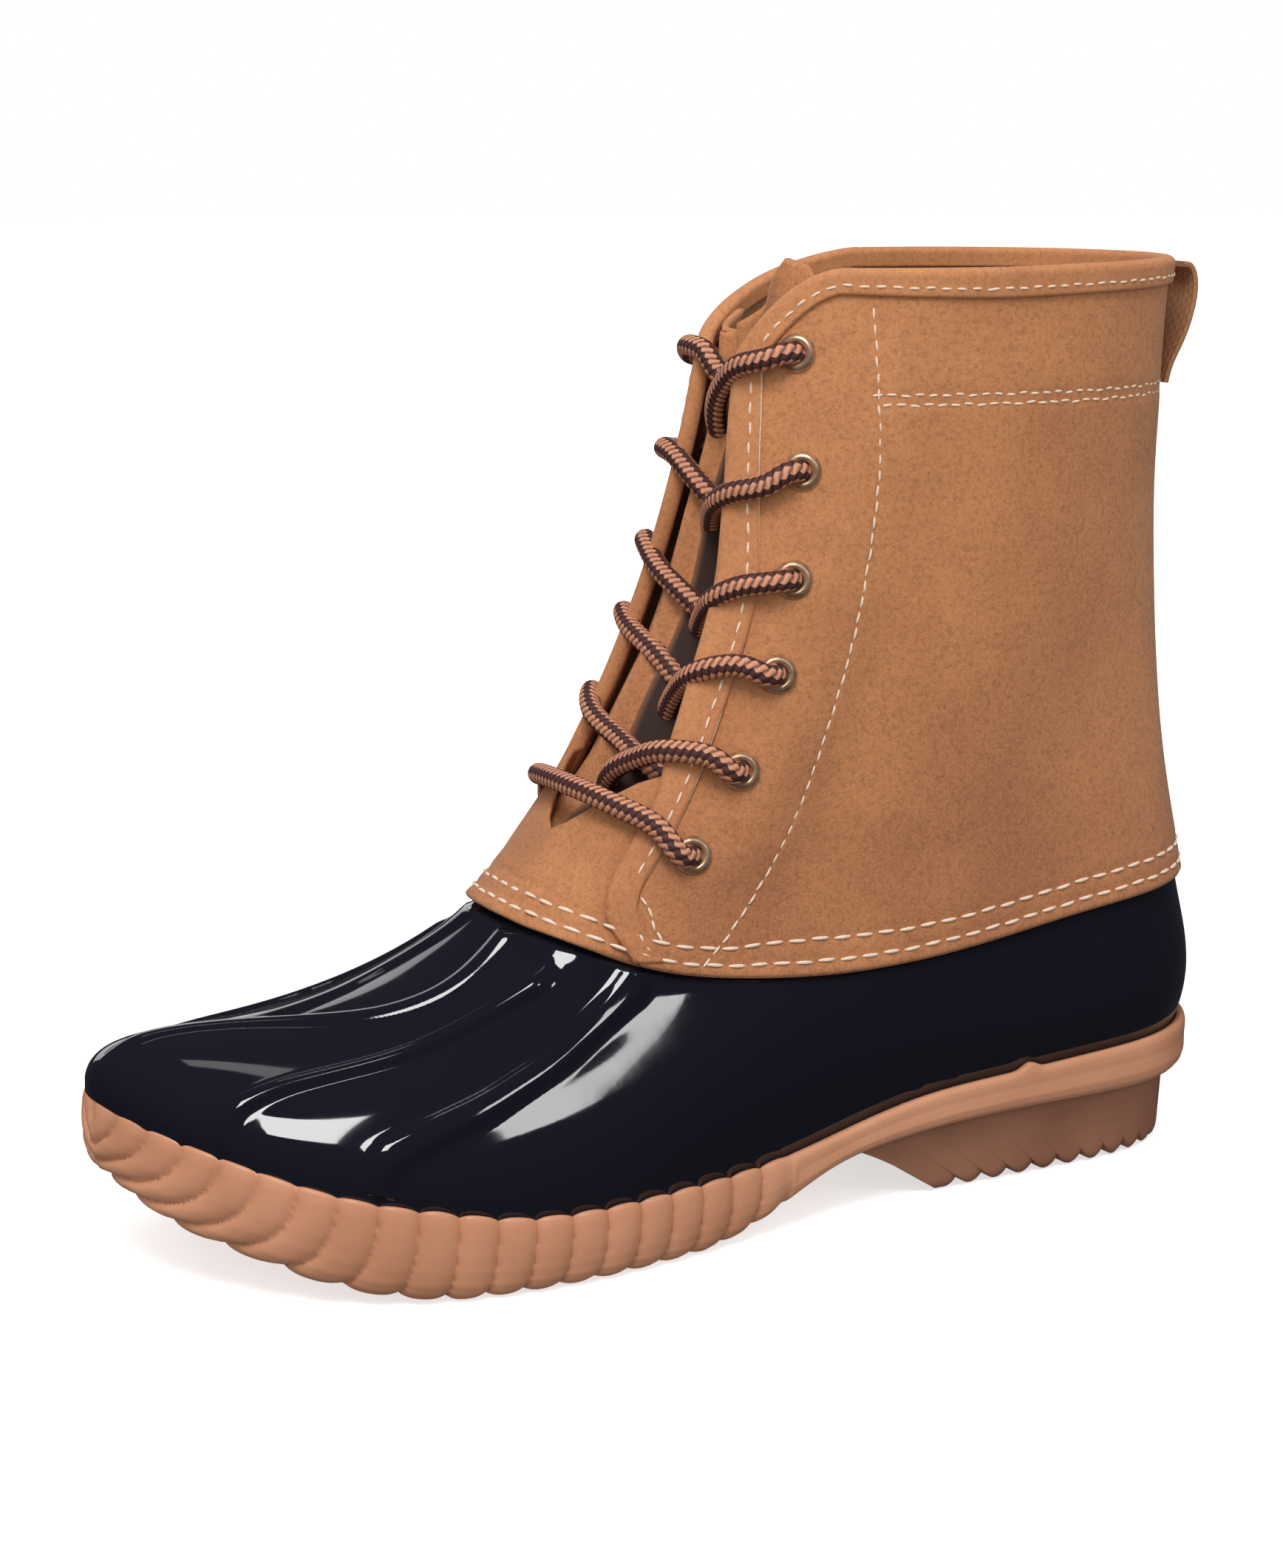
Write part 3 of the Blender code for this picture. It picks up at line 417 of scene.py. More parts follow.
fine_grain = bpy.data.node_groups.new("fine_grain", "ShaderNodeTree")
for socket in ("Scale", "Detail"):
    fine_grain.interface.new_socket(socket, in_out="INPUT", socket_type="NodeSocketFloat")
fine_grain.interface.new_socket("Height", in_out="OUTPUT", socket_type="NodeSocketFloat")
grain_given, grain_made = (fine_grain.nodes.new(kind) for kind in ("NodeGroupInput", "NodeGroupOutput"))
grain_place = fine_grain.nodes.new("ShaderNodeTexCoord").outputs["Object"]
grain_value = noise(fine_grain, grain_place, 1.0)
for socket in ("Scale", "Detail"):
    fine_grain.links.new(grain_given.outputs[socket], grain_value.node.inputs[socket])
fine_grain.links.new(grain_value, grain_made.inputs["Height"])


def grain(tree, scale, detail):
    placed = tree.nodes.new("ShaderNodeGroup")
    placed.node_tree = fine_grain
    placed.inputs["Scale"].default_value = scale
    placed.inputs["Detail"].default_value = detail
    return placed.outputs["Height"]


def raised(tree, shader, height, distance, strength=1.0):
    made = tree.nodes.new("ShaderNodeBump")
    made.inputs["Distance"].default_value = distance
    made.inputs["Strength"].default_value = strength
    tree.links.new(height, made.inputs["Height"])
    tree.links.new(made.outputs["Normal"], shader.inputs["Normal"])


gum, tree, shader, place = new_finish("gum_rubber", 0.42)
cloud = noise(tree, place.outputs["Object"], 28.0, 4.0)
fleck = noise(tree, place.outputs["Object"], 900.0, 2.0)
colour = blend_colour(tree, ramp(tree, cloud, 0.35, 0.65), (0.52, 0.232, 0.122), (0.62, 0.290, 0.162))
tree.links.new(colour, shader.inputs["Base Color"])
tree.links.new(ramp(tree, cloud, 0.3, 0.7, 0.36, 0.50), shader.inputs["Roughness"])
raised(tree, shader, math_node(tree, "ADD", math_node(tree, "MULTIPLY", fleck, 0.12),
                               noise(tree, place.outputs["Object"], 160.0, 3.0)), 0.00018, 0.6)
# The heel block is the same gum rubber as the sole, given a darker copy of its colour: painted shade for the
# block's inset under the band.
gum_painted_shade, tree, shader, place = new_finish("gum_rubber_heel_painted_shade", 0.5)
cloud = noise(tree, place.outputs["Object"], 40.0, 4.0)
tree.links.new(blend_colour(tree, ramp(tree, cloud, 0.35, 0.65), (0.27, 0.112, 0.062),
                            (0.33, 0.145, 0.082)), shader.inputs["Base Color"])
raised(tree, shader, grain(tree, 160.0, 3.0), 0.0002, 0.6)
outsole.data.materials.append(gum)
heel_block.data.materials.append(gum_painted_shade)


# Rubber shell: injection-moulded, mirror-glossy navy rubber, 2 mm thick, set inside the sole's lip and
# under the leather. Raised ribs, traced from the photograph, run from the toe to the throat.
COLLAR_Z, RUBBER_WALL = 219.0, 2.2
TOP_PLAN = [(5, 0), (10, -14), (24, -25), (50, -30), (80, -33), (110, -34.5), (140, -34.5), (160, -33),
            (173.5, -30), (185.5, -22.5), (191.8, 1), (185.5, 23.5), (174, 30), (160, 32.5), (140, 33.5),
            (110, 33), (80, 31.5), (50, 29.5), (24, 25), (10, 14)]
COLLAR_PLAN = [(16, 0), (20, -12.5), (33, -25), (55, -32.5), (82, -34), (103, -30.5), (119, -22.5),
               (129, -11.5), (132, 0), (129, 11.5), (119, 22.5), (103, 30.5), (82, 34), (55, 32.5),
               (33, 25), (20, 12.5)]
TOP_LINE = [(0, 68.5), (30, 67), (60, 64), (90, 60.5), (120, 59), (150, 61), (172, 66), (186, 71),
            (194, 73.5)]
SECTIONS = [
    (0.00, 0.000, 0.000, 5.0, 14, 2.5, 13, 1.9, -4.5), (0.12, 0.150, 0.150, 5.0, 14, 2.0, 13, 1.9, -4.0),
    (0.25, 0.330, 0.310, 5.0, 13, 1.5, 13, 1.9, -1.0), (0.38, 0.490, 0.460, 4.0, 12, 2.0, 13, 1.8, 0.0),
    (0.50, 0.620, 0.590, 2.5, 12, 5.0, 12, 1.6, 0.0), (0.60, 0.710, 0.690, 1.5, 15, 11.0, 12, 1.4, 2.0),
    (0.70, 0.785, 0.775, 1.0, 17, 19.0, 14, 1.2, 4.0), (0.80, 0.855, 0.855, 0.5, 17, 28.0, 20, 1.0, 6.0),
    (0.90, 0.925, 0.930, 0.5, 18, 32.0, 29, 0.95, 7.0), (1.00, 1.000, 1.000, 0.5, 21, 35.0, 33, 0.85, 8.0)]
COLUMNS = ("sole", "top", "collar", "flare", "rise", "back", "drop", "above", "lean")


def column(name):
    """A column of SECTIONS as a function of u round the boot, the same on both sides."""
    k = COLUMNS.index(name)
    half = np.array([row[0] for row in SECTIONS])
    values = np.array([row[k] for row in SECTIONS], float)
    odd = name in ("top", "collar")
    before = -values[3:0:-1] if odd else values[3:0:-1]
    after = 2 - values[-2:-5:-1] if odd else values[-2:-5:-1]
    x = np.concatenate([-half[3:0:-1], half, 2 - half[-2:-5:-1]])
    curve = spline(np.column_stack([x, np.concatenate([before, values, after])]))

    def value(u):
        u = np.asarray(u, float) % 1.0
        found = curve(np.where(u <= 0.5, 2 * u, 2 - 2 * u))
        return np.where(u <= 0.5, found / 2, 1 - found / 2) if odd else found

    return value


top_curve, collar_curve, top_z = outline(TOP_PLAN, 10), outline(COLLAR_PLAN, 8), spline(TOP_LINE)
columns = {name: column(name) for name in COLUMNS[1:]}


def bezier(p0, p1, p2, p3, t):
    t = t[..., None]
    return (1 - t) ** 3 * p0 + 3 * (1 - t) ** 2 * t * p1 + 3 * (1 - t) * t ** 2 * p2 + t ** 3 * p3


def seam_point(u, inset):
    edge = sole_curve(u)
    plan = edge - outward(sole_curve, u)[..., :2] * np.asarray(inset, float)[..., None]
    return np.concatenate([plan, seam_z(edge[..., 0])[..., None]], -1)


def leaning(u):
    half = np.where(u <= 0.5, 2 * u, 2 - 2 * u)
    share = np.clip((half - 0.4) / 0.35, 0, 1)
    share = (share * share * (3 - 2 * share))[..., None]
    found = outward(top_curve, columns["top"](u)) * (1 - share) + np.array([1.0, 0.0, 0.0]) * share
    return found / np.linalg.norm(found, axis=-1)[..., None]


def surface(u, h):
    """The last's outside: h runs 0 to 1 up the rubber shell and 1 to 2 up the leather shaft."""
    u, h = np.broadcast_arrays(np.asarray(u, float) % 1.0, np.asarray(h, float))
    low = seam_point(u, 3.0)
    plan = top_curve(columns["top"](u))
    middle = np.concatenate([plan, top_z(plan[..., 0])[..., None]], -1)
    plan = collar_curve(columns["collar"](u))
    high = np.concatenate([plan, np.full(plan.shape[:-1] + (1,), COLLAR_Z)], -1)
    handle = {name: f(u)[..., None] for name, f in columns.items() if name not in ("top", "collar")}
    turn = leaning(u) * handle["back"] - UP * handle["drop"]
    lower = bezier(low, low + outward(sole_curve, u) * handle["flare"] + UP * handle["rise"], middle + turn,
                   middle, h)
    high_out = outward(collar_curve, columns["collar"](u))
    upper = bezier(middle, middle - turn * handle["above"], high + high_out * handle["lean"] - UP * 72.0,
                   high, h - 1)
    rise = np.clip((h - 1) / 0.4, 0, 1)
    behind = np.exp(-(np.minimum(u, 1 - u) / 0.13) ** 2) * rise * rise * (3 - 2 * rise)
    upper = upper + np.array([1.6, 0.0, 0.0]) * behind[..., None]
    return np.where((h <= 1)[..., None], lower, upper)


def layer(u, h, out):
    """The surface moved outwards by this many millimetres."""
    u, h = np.broadcast_arrays(np.asarray(u, float), np.asarray(h, float))
    e = 2e-3
    n = np.cross(surface(u + e, h) - surface(u - e, h), surface(u, h + e) - surface(u, h - e))
    n /= np.linalg.norm(n, axis=-1)[..., None]
    return surface(u, h) + n * np.asarray(out, float)[..., None]


def above_top_line(u, distance):
    return 1 + distance / (3 * np.hypot(columns["back"](u), columns["drop"](u)) * columns["above"](u))


SHELL_ROWS = [(-1.0, 0, 0), (0.0, 0, 2), (0.15, 0, 20), (0.4, 0, 32), (0.7, 0, 42), (0.985, 0, 40),
              (1.0, -1.0, 2), (1.06, -1.1, 2), (1.08, -1.7, 1), (1.06, -2.2, 1), (0.7, -2.2, 5),
              (0.3, -2.2, 5), (0.0, -2.2, 3), (-1.0, -2.2, 1), (-1.0, 0, 1)]
# Each ridge as its line of (s, y), half its width and its height. The far side has their mirror image.
RIDGE_LINES = [
    ([(190, -8.6), (196, -10.0), (203, -11.6), (210, -12.0), (217, -10.8), (225, -8.0),
                (234, -3.4), (243, 1.2),
                (252, 5.2), (262, 8.0), (271, 9.0), (278, 8.4), (283, 7.6)], 2.4, 1.3),
    ([(188, -25.6), (197.4, -25.2), (207, -25.3), (216, -25.3), (226, -24.7), (236.8, -22.9),
               (244.6, -21.5),
               (251, -20.5), (257.9, -19.9), (263.4, -19.6), (267, -19.4)], 1.9, 1.75),
    ([(168, -31.0), (175, -32.3), (184, -34.2), (193.5, -36.5), (203.7, -38.2), (213, -39.4),
              (222.7, -39.8),
              (231.1, -39.7), (237.3, -39.4), (241.5, -39.0)], 1.9, 1.7),
]


def toe_middle(s):
    return np.interp(s, [150, 190, 225, 255, 286], [0.0, 0.3, 1.6, 5.2, 9.0])


def ridge_height(places):
    found = np.zeros(places.shape[:-1])
    for line, width, height in RIDGE_LINES:
        knots = np.arange(len(line), dtype=float)
        fine = spline(np.column_stack([knots, line]))(np.linspace(0, len(line) - 1, 120))
        for mirrored in (False, True):
            track = fine.copy()
            if mirrored:
                track[:, 1] = np.maximum(2 * toe_middle(track[:, 0]) - track[:, 1], track[:, 1])
            ahead = np.gradient(track, axis=0)
            pace = np.linalg.norm(ahead, axis=-1)
            away = places[..., None, :2] - track
            nearest = np.linalg.norm(away, axis=-1).argmin(-1)
            step = np.take_along_axis(away, nearest[..., None, None], -2)[..., 0, :]
            heading = ahead[nearest] / pace[nearest][..., None]
            along = (step * heading).sum(-1)
            beyond = ((nearest == 0) & (along < 0)) | ((nearest == len(track) - 1) & (along > 0))
            aside = np.abs(step[..., 0] * heading[..., 1] - step[..., 1] * heading[..., 0])
            gap = np.where(beyond, np.linalg.norm(step, axis=-1), aside)
            share = np.clip((nearest + along / pace[nearest]) / (len(track) - 1), 0, 1)
            taper = np.clip(np.minimum(share * 14 + 0.1, (1 - share) * 6), 0, 1)
            bead = height * np.exp(-(gap / width) ** 3.4) * taper * taper * (3 - 2 * taper)
            found = np.maximum(found, bead)
    return found


def shell_shape(x, t):
    u = x + 0.07 * np.sin(2 * np.pi * x)
    h, out = along_rows(SHELL_ROWS, t)
    top_row = above_top_line(u, 7.0)
    lifted = np.where(h > 1, 1 + (top_row - 1) * (h - 1) / 0.08, np.maximum(h, 0.0))
    outside = (out > -0.01) & (h > 0.02)
    base = layer(u, lifted, out)
    ridge = ridge_height(base) * outside * np.clip((1.0 - h) * 40, 0, 1)
    mould = 0.22 * (bump((u - 0.171) * 560, 1.2) + bump((u - 0.1555) * 560, 1.2)) * outside
    found = base + (layer(u, lifted, out + 1.0) - base) * (ridge + mould)[..., None]
    flush = 2.3 * toe_share(u) * np.clip(1 - lifted / 0.45, 0, 1) ** 2
    found = found + outward(sole_curve, u) * flush[..., None]
    foot = h < 0
    inset = np.where(out < -1, 3.0 + RUBBER_WALL, 3.0)
    low = seam_point(u, inset) - UP * 2.7
    low = low + outward(sole_curve, u) * (2.3 * toe_share(u))[..., None]
    return np.where(foot[..., None], low, found)


shell = as_piece("moulded_shell", laid(604, 158, shell_shape), ("rubber_shell",), 60)
navy, tree, shader, place = new_finish("navy_rubber", 0.045)
shader.inputs["Base Color"].default_value = (0.0075, 0.0078, 0.0130, 1)
shader.inputs["IOR"].default_value = 1.52
shader.inputs["Coat Weight"].default_value = 0.25
shader.inputs["Coat Roughness"].default_value = 0.02
wave = noise(tree, place.outputs["Object"], 22.0, 2.0)
tree.links.new(ramp(tree, noise(tree, place.outputs["Object"], 45.0, 4.0), 0.35, 0.75, 0.03, 0.10),
               shader.inputs["Roughness"])
raised(tree, shader, math_node(tree, "ADD", wave,
                               math_node(tree, "MULTIPLY", noise(tree, place.outputs["Object"], 420.0, 1.0),
                                         0.012)), 0.0009, 0.35)
shell.data.materials.append(navy)

# Leather shaft: tan nubuck, two quarters closed up the back, 1.6 mm thick with a brushed lining. It is
# punched for the eyelets, and its cut lower edge lies over the shell and is sewn down with two rows.
LEATHER_WALL, GAP = 1.6, 0.3
THROAT = [(58, 33), (64, 31.5), (70, 29), (76, 25.5), (82, 23.2), (88, 22.3), (95, 22), (100, 21.7),
          (110, 19.7), (120, 18.3), (130, 17.2), (150, 15.3), (160, 13.4), (170, 11.6), (180, 9.8),
          (190, 8.6), (200, 8), (225, 7.8)]
LOWER_EYELETS = [(173.5, 16.5), (149.5, 16.2), (128.6, 18.0), (107.3, 16.0), (89.0, 13.5)]
EYELETS = {-1: [(199.5, 13.2)] + LOWER_EYELETS, 1: [(196.0, 14.0)] + LOWER_EYELETS}
throat_half = spline(THROAT)
LEVEL_U, LEVEL_Z, LEVEL_H = np.linspace(0, 1, 721), np.linspace(40, 226, 373), np.linspace(0.6, 2.1, 151)
heights_at = surface(LEVEL_U[:, None], LEVEL_H[None])[..., 2]
level_table = np.array([np.interp(LEVEL_Z, row, LEVEL_H) for row in heights_at])


def level(u, z):
    """The h at which the surface reaches a height, read between the places of a table."""
    u, z = np.broadcast_arrays(np.asarray(u, float), np.asarray(z, float))
    across = (u % 1.0) * (len(LEVEL_U) - 1)
    above = np.clip((z - LEVEL_Z[0]) / (LEVEL_Z[1] - LEVEL_Z[0]), 0, len(LEVEL_Z) - 1.001)
    i, j = np.minimum(across.astype(int), len(LEVEL_U) - 2), above.astype(int)
    a, b = across - i, above - j
    low = level_table[i, j] * (1 - a) + level_table[i + 1, j] * a
    return low * (1 - b) + (level_table[i, j + 1] * (1 - a) + level_table[i + 1, j + 1] * a) * b


def throat_edge(z, side):
    low, high = np.full(z.shape, 0.5), np.full(z.shape, 0.5 + side * 0.17)
    for _ in range(16):
        mid = (low + high) / 2
        inside = np.abs(surface(mid, level(mid, z))[..., 1]) < throat_half(z)
        low, high = np.where(inside, mid, low), np.where(inside, high, mid)
    edge = (low + high) / 2
    further = edge + side * 0.03
    step = np.linalg.norm(surface(further, level(further, z)) - surface(edge, level(edge, z)), axis=-1)
    return edge, side * 0.03 / step


EDGE_Z = np.linspace(56, 226, 69)
EDGE = {side: throat_edge(EDGE_Z, side) for side in (-1, 1)}


def beside_throat(z, distance, side):
    """The (u, h) this many millimetres round the boot from the throat's edge, at a height."""
    z = np.asarray(z, float)
    edge, per_mm = (np.interp(z, EDGE_Z, values) for values in EDGE[side])
    u = edge + per_mm * np.asarray(distance, float)
    return u, level(u, z)


eyelet_seats = [beside_throat(z, distance, side) for side in (-1, 1) for z, distance in EYELETS[side]]
set_back = 3.4 * np.interp(EDGE_Z, [165, 205], [0, 1])
EDGE[1] = (EDGE[1][0] + EDGE[1][1] * set_back, EDGE[1][1])


CORNER_HEIGHT, CORNER_SHAPE = 21.0, {-1: (21.0, 1.9), 1: (48.0, 1.35)}
OUTSIDE = GAP + LEATHER_WALL
FRONT_SHARE, FRONT_REACH = 0.20, 50.0


def corner_drop(distance, side):
    """How far the collar's edge lies below its height at the back, by the distance from the throat."""
    width, power = CORNER_SHAPE[side]
    dip = 1.9 * np.clip(1 - distance / 130.0, 0, 1) if side < 0 else 0.0
    return (CORNER_HEIGHT - 1.9 * (side < 0)) * np.clip(1 - distance / width, 0, 1) ** power + dip


GIRTH_BEHIND = 222.0


def shaft_place(x, rise):
    """(u, h) on the shaft: x from the outer throat edge round the back to the inner one, rise upwards."""
    x, rise = np.broadcast_arrays(np.asarray(x, float), np.asarray(rise, float))
    share = (x - FRONT_SHARE) / (1 - 2 * FRONT_SHARE)
    reach = {-1: np.minimum(x / FRONT_SHARE, 1) * FRONT_REACH,
             1: np.minimum((1 - x) / FRONT_SHARE, 1) * FRONT_REACH}

    def share_round(z):
        ends = {}
        for side in (-1, 1):
            edge, per_mm = (np.interp(z, EDGE_Z, values) for values in EDGE[side])
            ends[side] = edge + per_mm * reach[side]
        behind = ends[-1] + (ends[1] - 1 - ends[-1]) * np.clip(share, 0, 1)
        return np.where(share < 0, ends[-1], np.where(share > 1, ends[1], behind))

    far_round = reach[-1] + np.clip(share, 0, 1) * GIRTH_BEHIND
    high = COLLAR_Z - np.where(x < 0.5, corner_drop(far_round, -1), corner_drop(reach[1], 1))
    z = 64.0 + (high - 64.0) * rise
    for _ in range(4):
        low = top_z(top_curve(columns["top"](share_round(z)))[..., 0])
        z = low + (high - low) * rise
    u = share_round(z)
    return u, np.where(rise <= 0, 1.0, np.maximum(level(u, z), 1.0 + 0.5 * rise * (rise < 0.02)))


# Seam down the side, as (height, share u): the front facing is sewn to the quarter along it.
LOWER_ROWS = (3.2, 7.1)
SIDE_SEAM = [(60, 0.3300), (66, 0.3272), (77, 0.3205), (87, 0.3140), (97, 0.3095), (112, 0.3085),
             (139, 0.3095), (149, 0.3120), (163, 0.3160), (174, 0.3195), (187, 0.3270), (200, 0.3345),
             (213, 0.3413)]
side_seam = spline(SIDE_SEAM)
# Soft hollows and folds of the worn-in leather: (u, height, width round, height of it, depth).
CREASES = [(0.395, 112, 0.030, 11, 0.7), (0.36, 134, 0.05, 9, 0.5), (0.30, 158, 0.05, 14, 0.45),
           (0.25, 84, 0.05, 8, 0.5), (0.19, 176, 0.06, 12, 0.5), (0.12, 120, 0.05, 20, 0.5),
           (0.34, 78, 0.03, 7, 0.5), (0.07, 160, 0.03, 16, 0.5), (0.64, 118, 0.05, 12, 0.6),
           (0.72, 160, 0.05, 14, 0.5), (0.80, 110, 0.05, 16, 0.5), (0.90, 180, 0.04, 14, 0.5)]


def sewn_down(lift):
    """How far the lower edge is pulled in, by the millimetres above it: a trough at each row, a thin edge."""
    troughs = 0.28 * (bump(lift - LOWER_ROWS[0], 0.9) + bump(lift - LOWER_ROWS[1], 0.9))
    return troughs + 0.55 * np.clip(1 - lift / 0.7, 0, 1) ** 2


def leather_relief(u, z, h):
    """How far the leather stands off its even form: hollows, the seams and the sewn lower edge."""
    turn = np.where(u < 0, u + 1, u) % 1.0
    found = np.zeros(u.shape)
    for at, height, wide, tall, depth in CREASES:
        found -= depth * bump(turn - at, wide) * bump(z - height, tall)
        found += 0.5 * depth * bump(turn - at, wide * 1.2) * bump(z - height - tall * 1.5, tall * 0.6)
    for way in (turn, 1 - turn):
        found -= 0.22 * bump((way - side_seam(np.clip(z, 60, 213))) * 560, 0.9) * (z < 213)
        found -= 0.2 * bump(z - 190.6, 0.8) * (way < 0.335) + 0.2 * bump(z - 188.6, 0.8) * (way < 0.325)
    lift = (h - 1) * 3 * np.hypot(columns["back"](turn), columns["drop"](turn)) * columns["above"](turn)
    return found - sewn_down(lift)


def shaft_shape(x, rise):
    rise = np.interp(rise, [0, 0.10, 0.70, 0.84, 1], [0, 0.06, 0.75, 0.845, 1])  # closer rows by the seams
    u, h = shaft_place(x, rise)
    z = surface(u, h)[..., 2]
    return layer(u, h, OUTSIDE + leather_relief(u, z, h))


def away_from(places, centre):
    return np.linalg.norm(places - centre, axis=-1)


leather_mesh = laid(430, 112, shaft_shape, merge=False)
eyelet_places = []
for u, h in eyelet_seats:
    here, there = layer(u, h, np.array(OUTSIDE)), layer(u, h, np.array(OUTSIDE + 1.0))
    eyelet_places.append((to_world(here), to_world(there) - to_world(here)))
centres = np.array([f.calc_center_median()[:] for f in leather_mesh.faces])
punched = np.zeros(len(centres), bool)
for centre, _ in eyelet_places:
    punched |= away_from(centres, centre) < 2.9 * MM
bmesh.ops.delete(leather_mesh, geom=[f for f, hole in zip(list(leather_mesh.faces), punched) if hole],
                 context="FACES")
leather_mesh.normal_update()
facing = sum(f.normal.dot(f.calc_center_median() - Vector((0.03, 0, 0.14)))
             for f in list(leather_mesh.faces)[::200])
if facing < 0:
    bmesh.ops.reverse_faces(leather_mesh, faces=leather_mesh.faces)
shaft = as_piece("leather_shaft_sheet", leather_mesh, ("leather_shaft",), 60)


def give_wall(piece, thickness, offset=-1.0):
    """Turns an open sheet into a closed wall of this many millimetres, inwards unless the offset says."""
    wall = piece.modifiers.new("wall", "SOLIDIFY")
    wall.thickness = thickness * MM
    wall.offset = offset
    return wall


wall = give_wall(shaft, LEATHER_WALL)
wall.material_offset = 1
wall.material_offset_rim = 0


brushed = bpy.data.node_groups.new("brushed_leather_painted_light", "ShaderNodeTree")
for socket, kind, way in (("Light", "Color", "INPUT"), ("Dark", "Color", "INPUT"), ("Fine", "Float", "INPUT"),
                          ("Colour", "Color", "OUTPUT"), ("Height", "Float", "OUTPUT")):
    brushed.interface.new_socket(socket, in_out=way, socket_type="NodeSocket" + kind)
given, made = (brushed.nodes.new(kind) for kind in ("NodeGroupInput", "NodeGroupOutput"))
where = brushed.nodes.new("ShaderNodeTexCoord").outputs["Object"]
patches, blotches = noise(brushed, where, 17.0, 3.0, 0.55), noise(brushed, where, 75.0, 3.0)
mottle, nap = noise(brushed, where, 780.0, 3.0, 0.75), noise(brushed, where, 1900.0, 2.0)
painted_light_height = brushed.nodes.new("ShaderNodeSeparateXYZ")
brushed.links.new(where, painted_light_height.inputs[0])
tone = math_node(brushed, "ADD", ramp(brushed, patches, 0.34, 0.66, 0.0, 0.65),
                 ramp(brushed, blotches, 0.3, 0.7, 0.0, 0.35))
# Painted light: the colour is made lighter towards the top of the boot and darker towards the bottom, by
# height.
tone = math_node(brushed, "ADD", tone, ramp(brushed, painted_light_height.outputs["Z"], 0.085, 0.205, -0.16, 0.30))
colour = blend_colour(brushed, tone, given.outputs["Dark"], given.outputs["Light"])
for mask, shade, factor in ((ramp(brushed, mottle, 0.30, 0.56, 0.52, 0.0), "Dark", 0.42),
                            (ramp(brushed, nap, 0.40, 0.68, 0.0, 0.30), "Light", 1.35)):
    scaled = brushed.nodes.new("ShaderNodeVectorMath")
    scaled.operation = "SCALE"
    scaled.inputs["Scale"].default_value = factor
    brushed.links.new(given.outputs[shade], scaled.inputs[0])
    mask = math_node(brushed, "MULTIPLY", mask, given.outputs["Fine"])
    colour = blend_colour(brushed, mask, colour, scaled.outputs[0])
brushed.links.new(colour, made.inputs["Colour"])
height = math_node(brushed, "ADD", math_node(brushed, "MULTIPLY", mottle, 0.8),
                   math_node(brushed, "MULTIPLY", nap, 0.35))
brushed.links.new(height, made.inputs["Height"])


def nubuck(name, light, dark, fine=1.0):
    """Brushed leather: cloudy tone, a fine even mottle and a soft nap, with painted light: lighter towards
    the top, darker towards the bottom.
    """
    made, tree, shader, place = new_finish(name, 0.82)
    leather = tree.nodes.new("ShaderNodeGroup")
    leather.node_tree = brushed
    leather.inputs["Light"].default_value = (*light, 1)
    leather.inputs["Dark"].default_value = (*dark, 1)
    leather.inputs["Fine"].default_value = fine
    tree.links.new(leather.outputs["Colour"], shader.inputs["Base Color"])
    shader.inputs["Sheen Weight"].default_value = 0.06
    shader.inputs["Sheen Roughness"].default_value = 0.5
    raised(tree, shader, leather.outputs["Height"], 0.00026, 0.6)
    return made


tan = nubuck("tan_nubuck", (0.520, 0.218, 0.082), (0.355, 0.135, 0.053))
lining, tree, shader, place = new_finish("brushed_lining", 0.9)
colour = blend_colour(tree, noise(tree, place.outputs["Object"], 700.0, 3.0), (0.30, 0.155, 0.072),
                      (0.44, 0.24, 0.115))
tree.links.new(colour, shader.inputs["Base Color"])
raised(tree, shader, grain(tree, 900.0, 3.0), 0.0003, 0.7)
shaft.data.materials.append(tan)
shaft.data.materials.append(lining)

# Edge band: a strip of the same nubuck folded over the edge of the throat and the collar and sewn
# through with one row. Along the throat it is wider, and its inner border is a raw light edge.
BAND_TOP = 0.9
band_width = spline([(60, 5.8), (83, 5.8), (90, 6.3), (99, 5.8), (108, 7.1), (120, 8.0), (136, 8.6),
                     (156, 8.0), (173, 7.2), (186, 7.0), (200, 5.6)])
COLLAR_BAND = 5.4
BACK_SHARE, SIDE_SHARE, CORNER_AT = 0.28, 0.36, 0.62  # shares of the strip, and where a side turns


def band_profile(t):
    """(share of the width, mm from the edge, mm out) along the section, from the border to the inside."""
    turn = np.clip((t - 0.55) / 0.25, 0, 1) * np.pi
    middle = OUTSIDE - LEATHER_WALL / 2
    radius = BAND_TOP + LEATHER_WALL / 2
    share = np.interp(t, [0, 0.04, 0.08, 0.55], [1.0, 1.0, 0.95, 0.0])
    rise = np.interp(t, [0, 0.04, 0.08, 0.3, 0.5, 0.55], [-1.0, -0.25, 0.0, 0.05, 0.12, 0.0])
    away = -np.sin(turn) * 1.05 + 3.5 * np.clip((t - 0.8) / 0.2, 0, 1)
    out = np.where(t < 0.55, middle + radius + rise, middle + radius * np.cos(turn))
    return share, away, out


def band_edge(side, t):
    """The edge's (distance, height) and inward direction along one side, from foot to collar."""
    low = 66.3
    corner = COLLAR_Z - CORNER_HEIGHT
    distance = np.clip((t - CORNER_AT) / (1 - CORNER_AT), 0, 1) ** 1.25 * FRONT_REACH
    z = np.where(t < CORNER_AT, low + (corner - low) * t / CORNER_AT, COLLAR_Z - corner_drop(distance, side))
    e = 0.05
    slope = (corner_drop(np.maximum(distance - e, 0), side) - corner_drop(distance + e, side)) / (2 * e)
    slope = np.where(t < CORNER_AT, 50.0, np.maximum(slope, 0))
    length = np.hypot(1, slope)
    return distance, z, slope / length, -1 / length


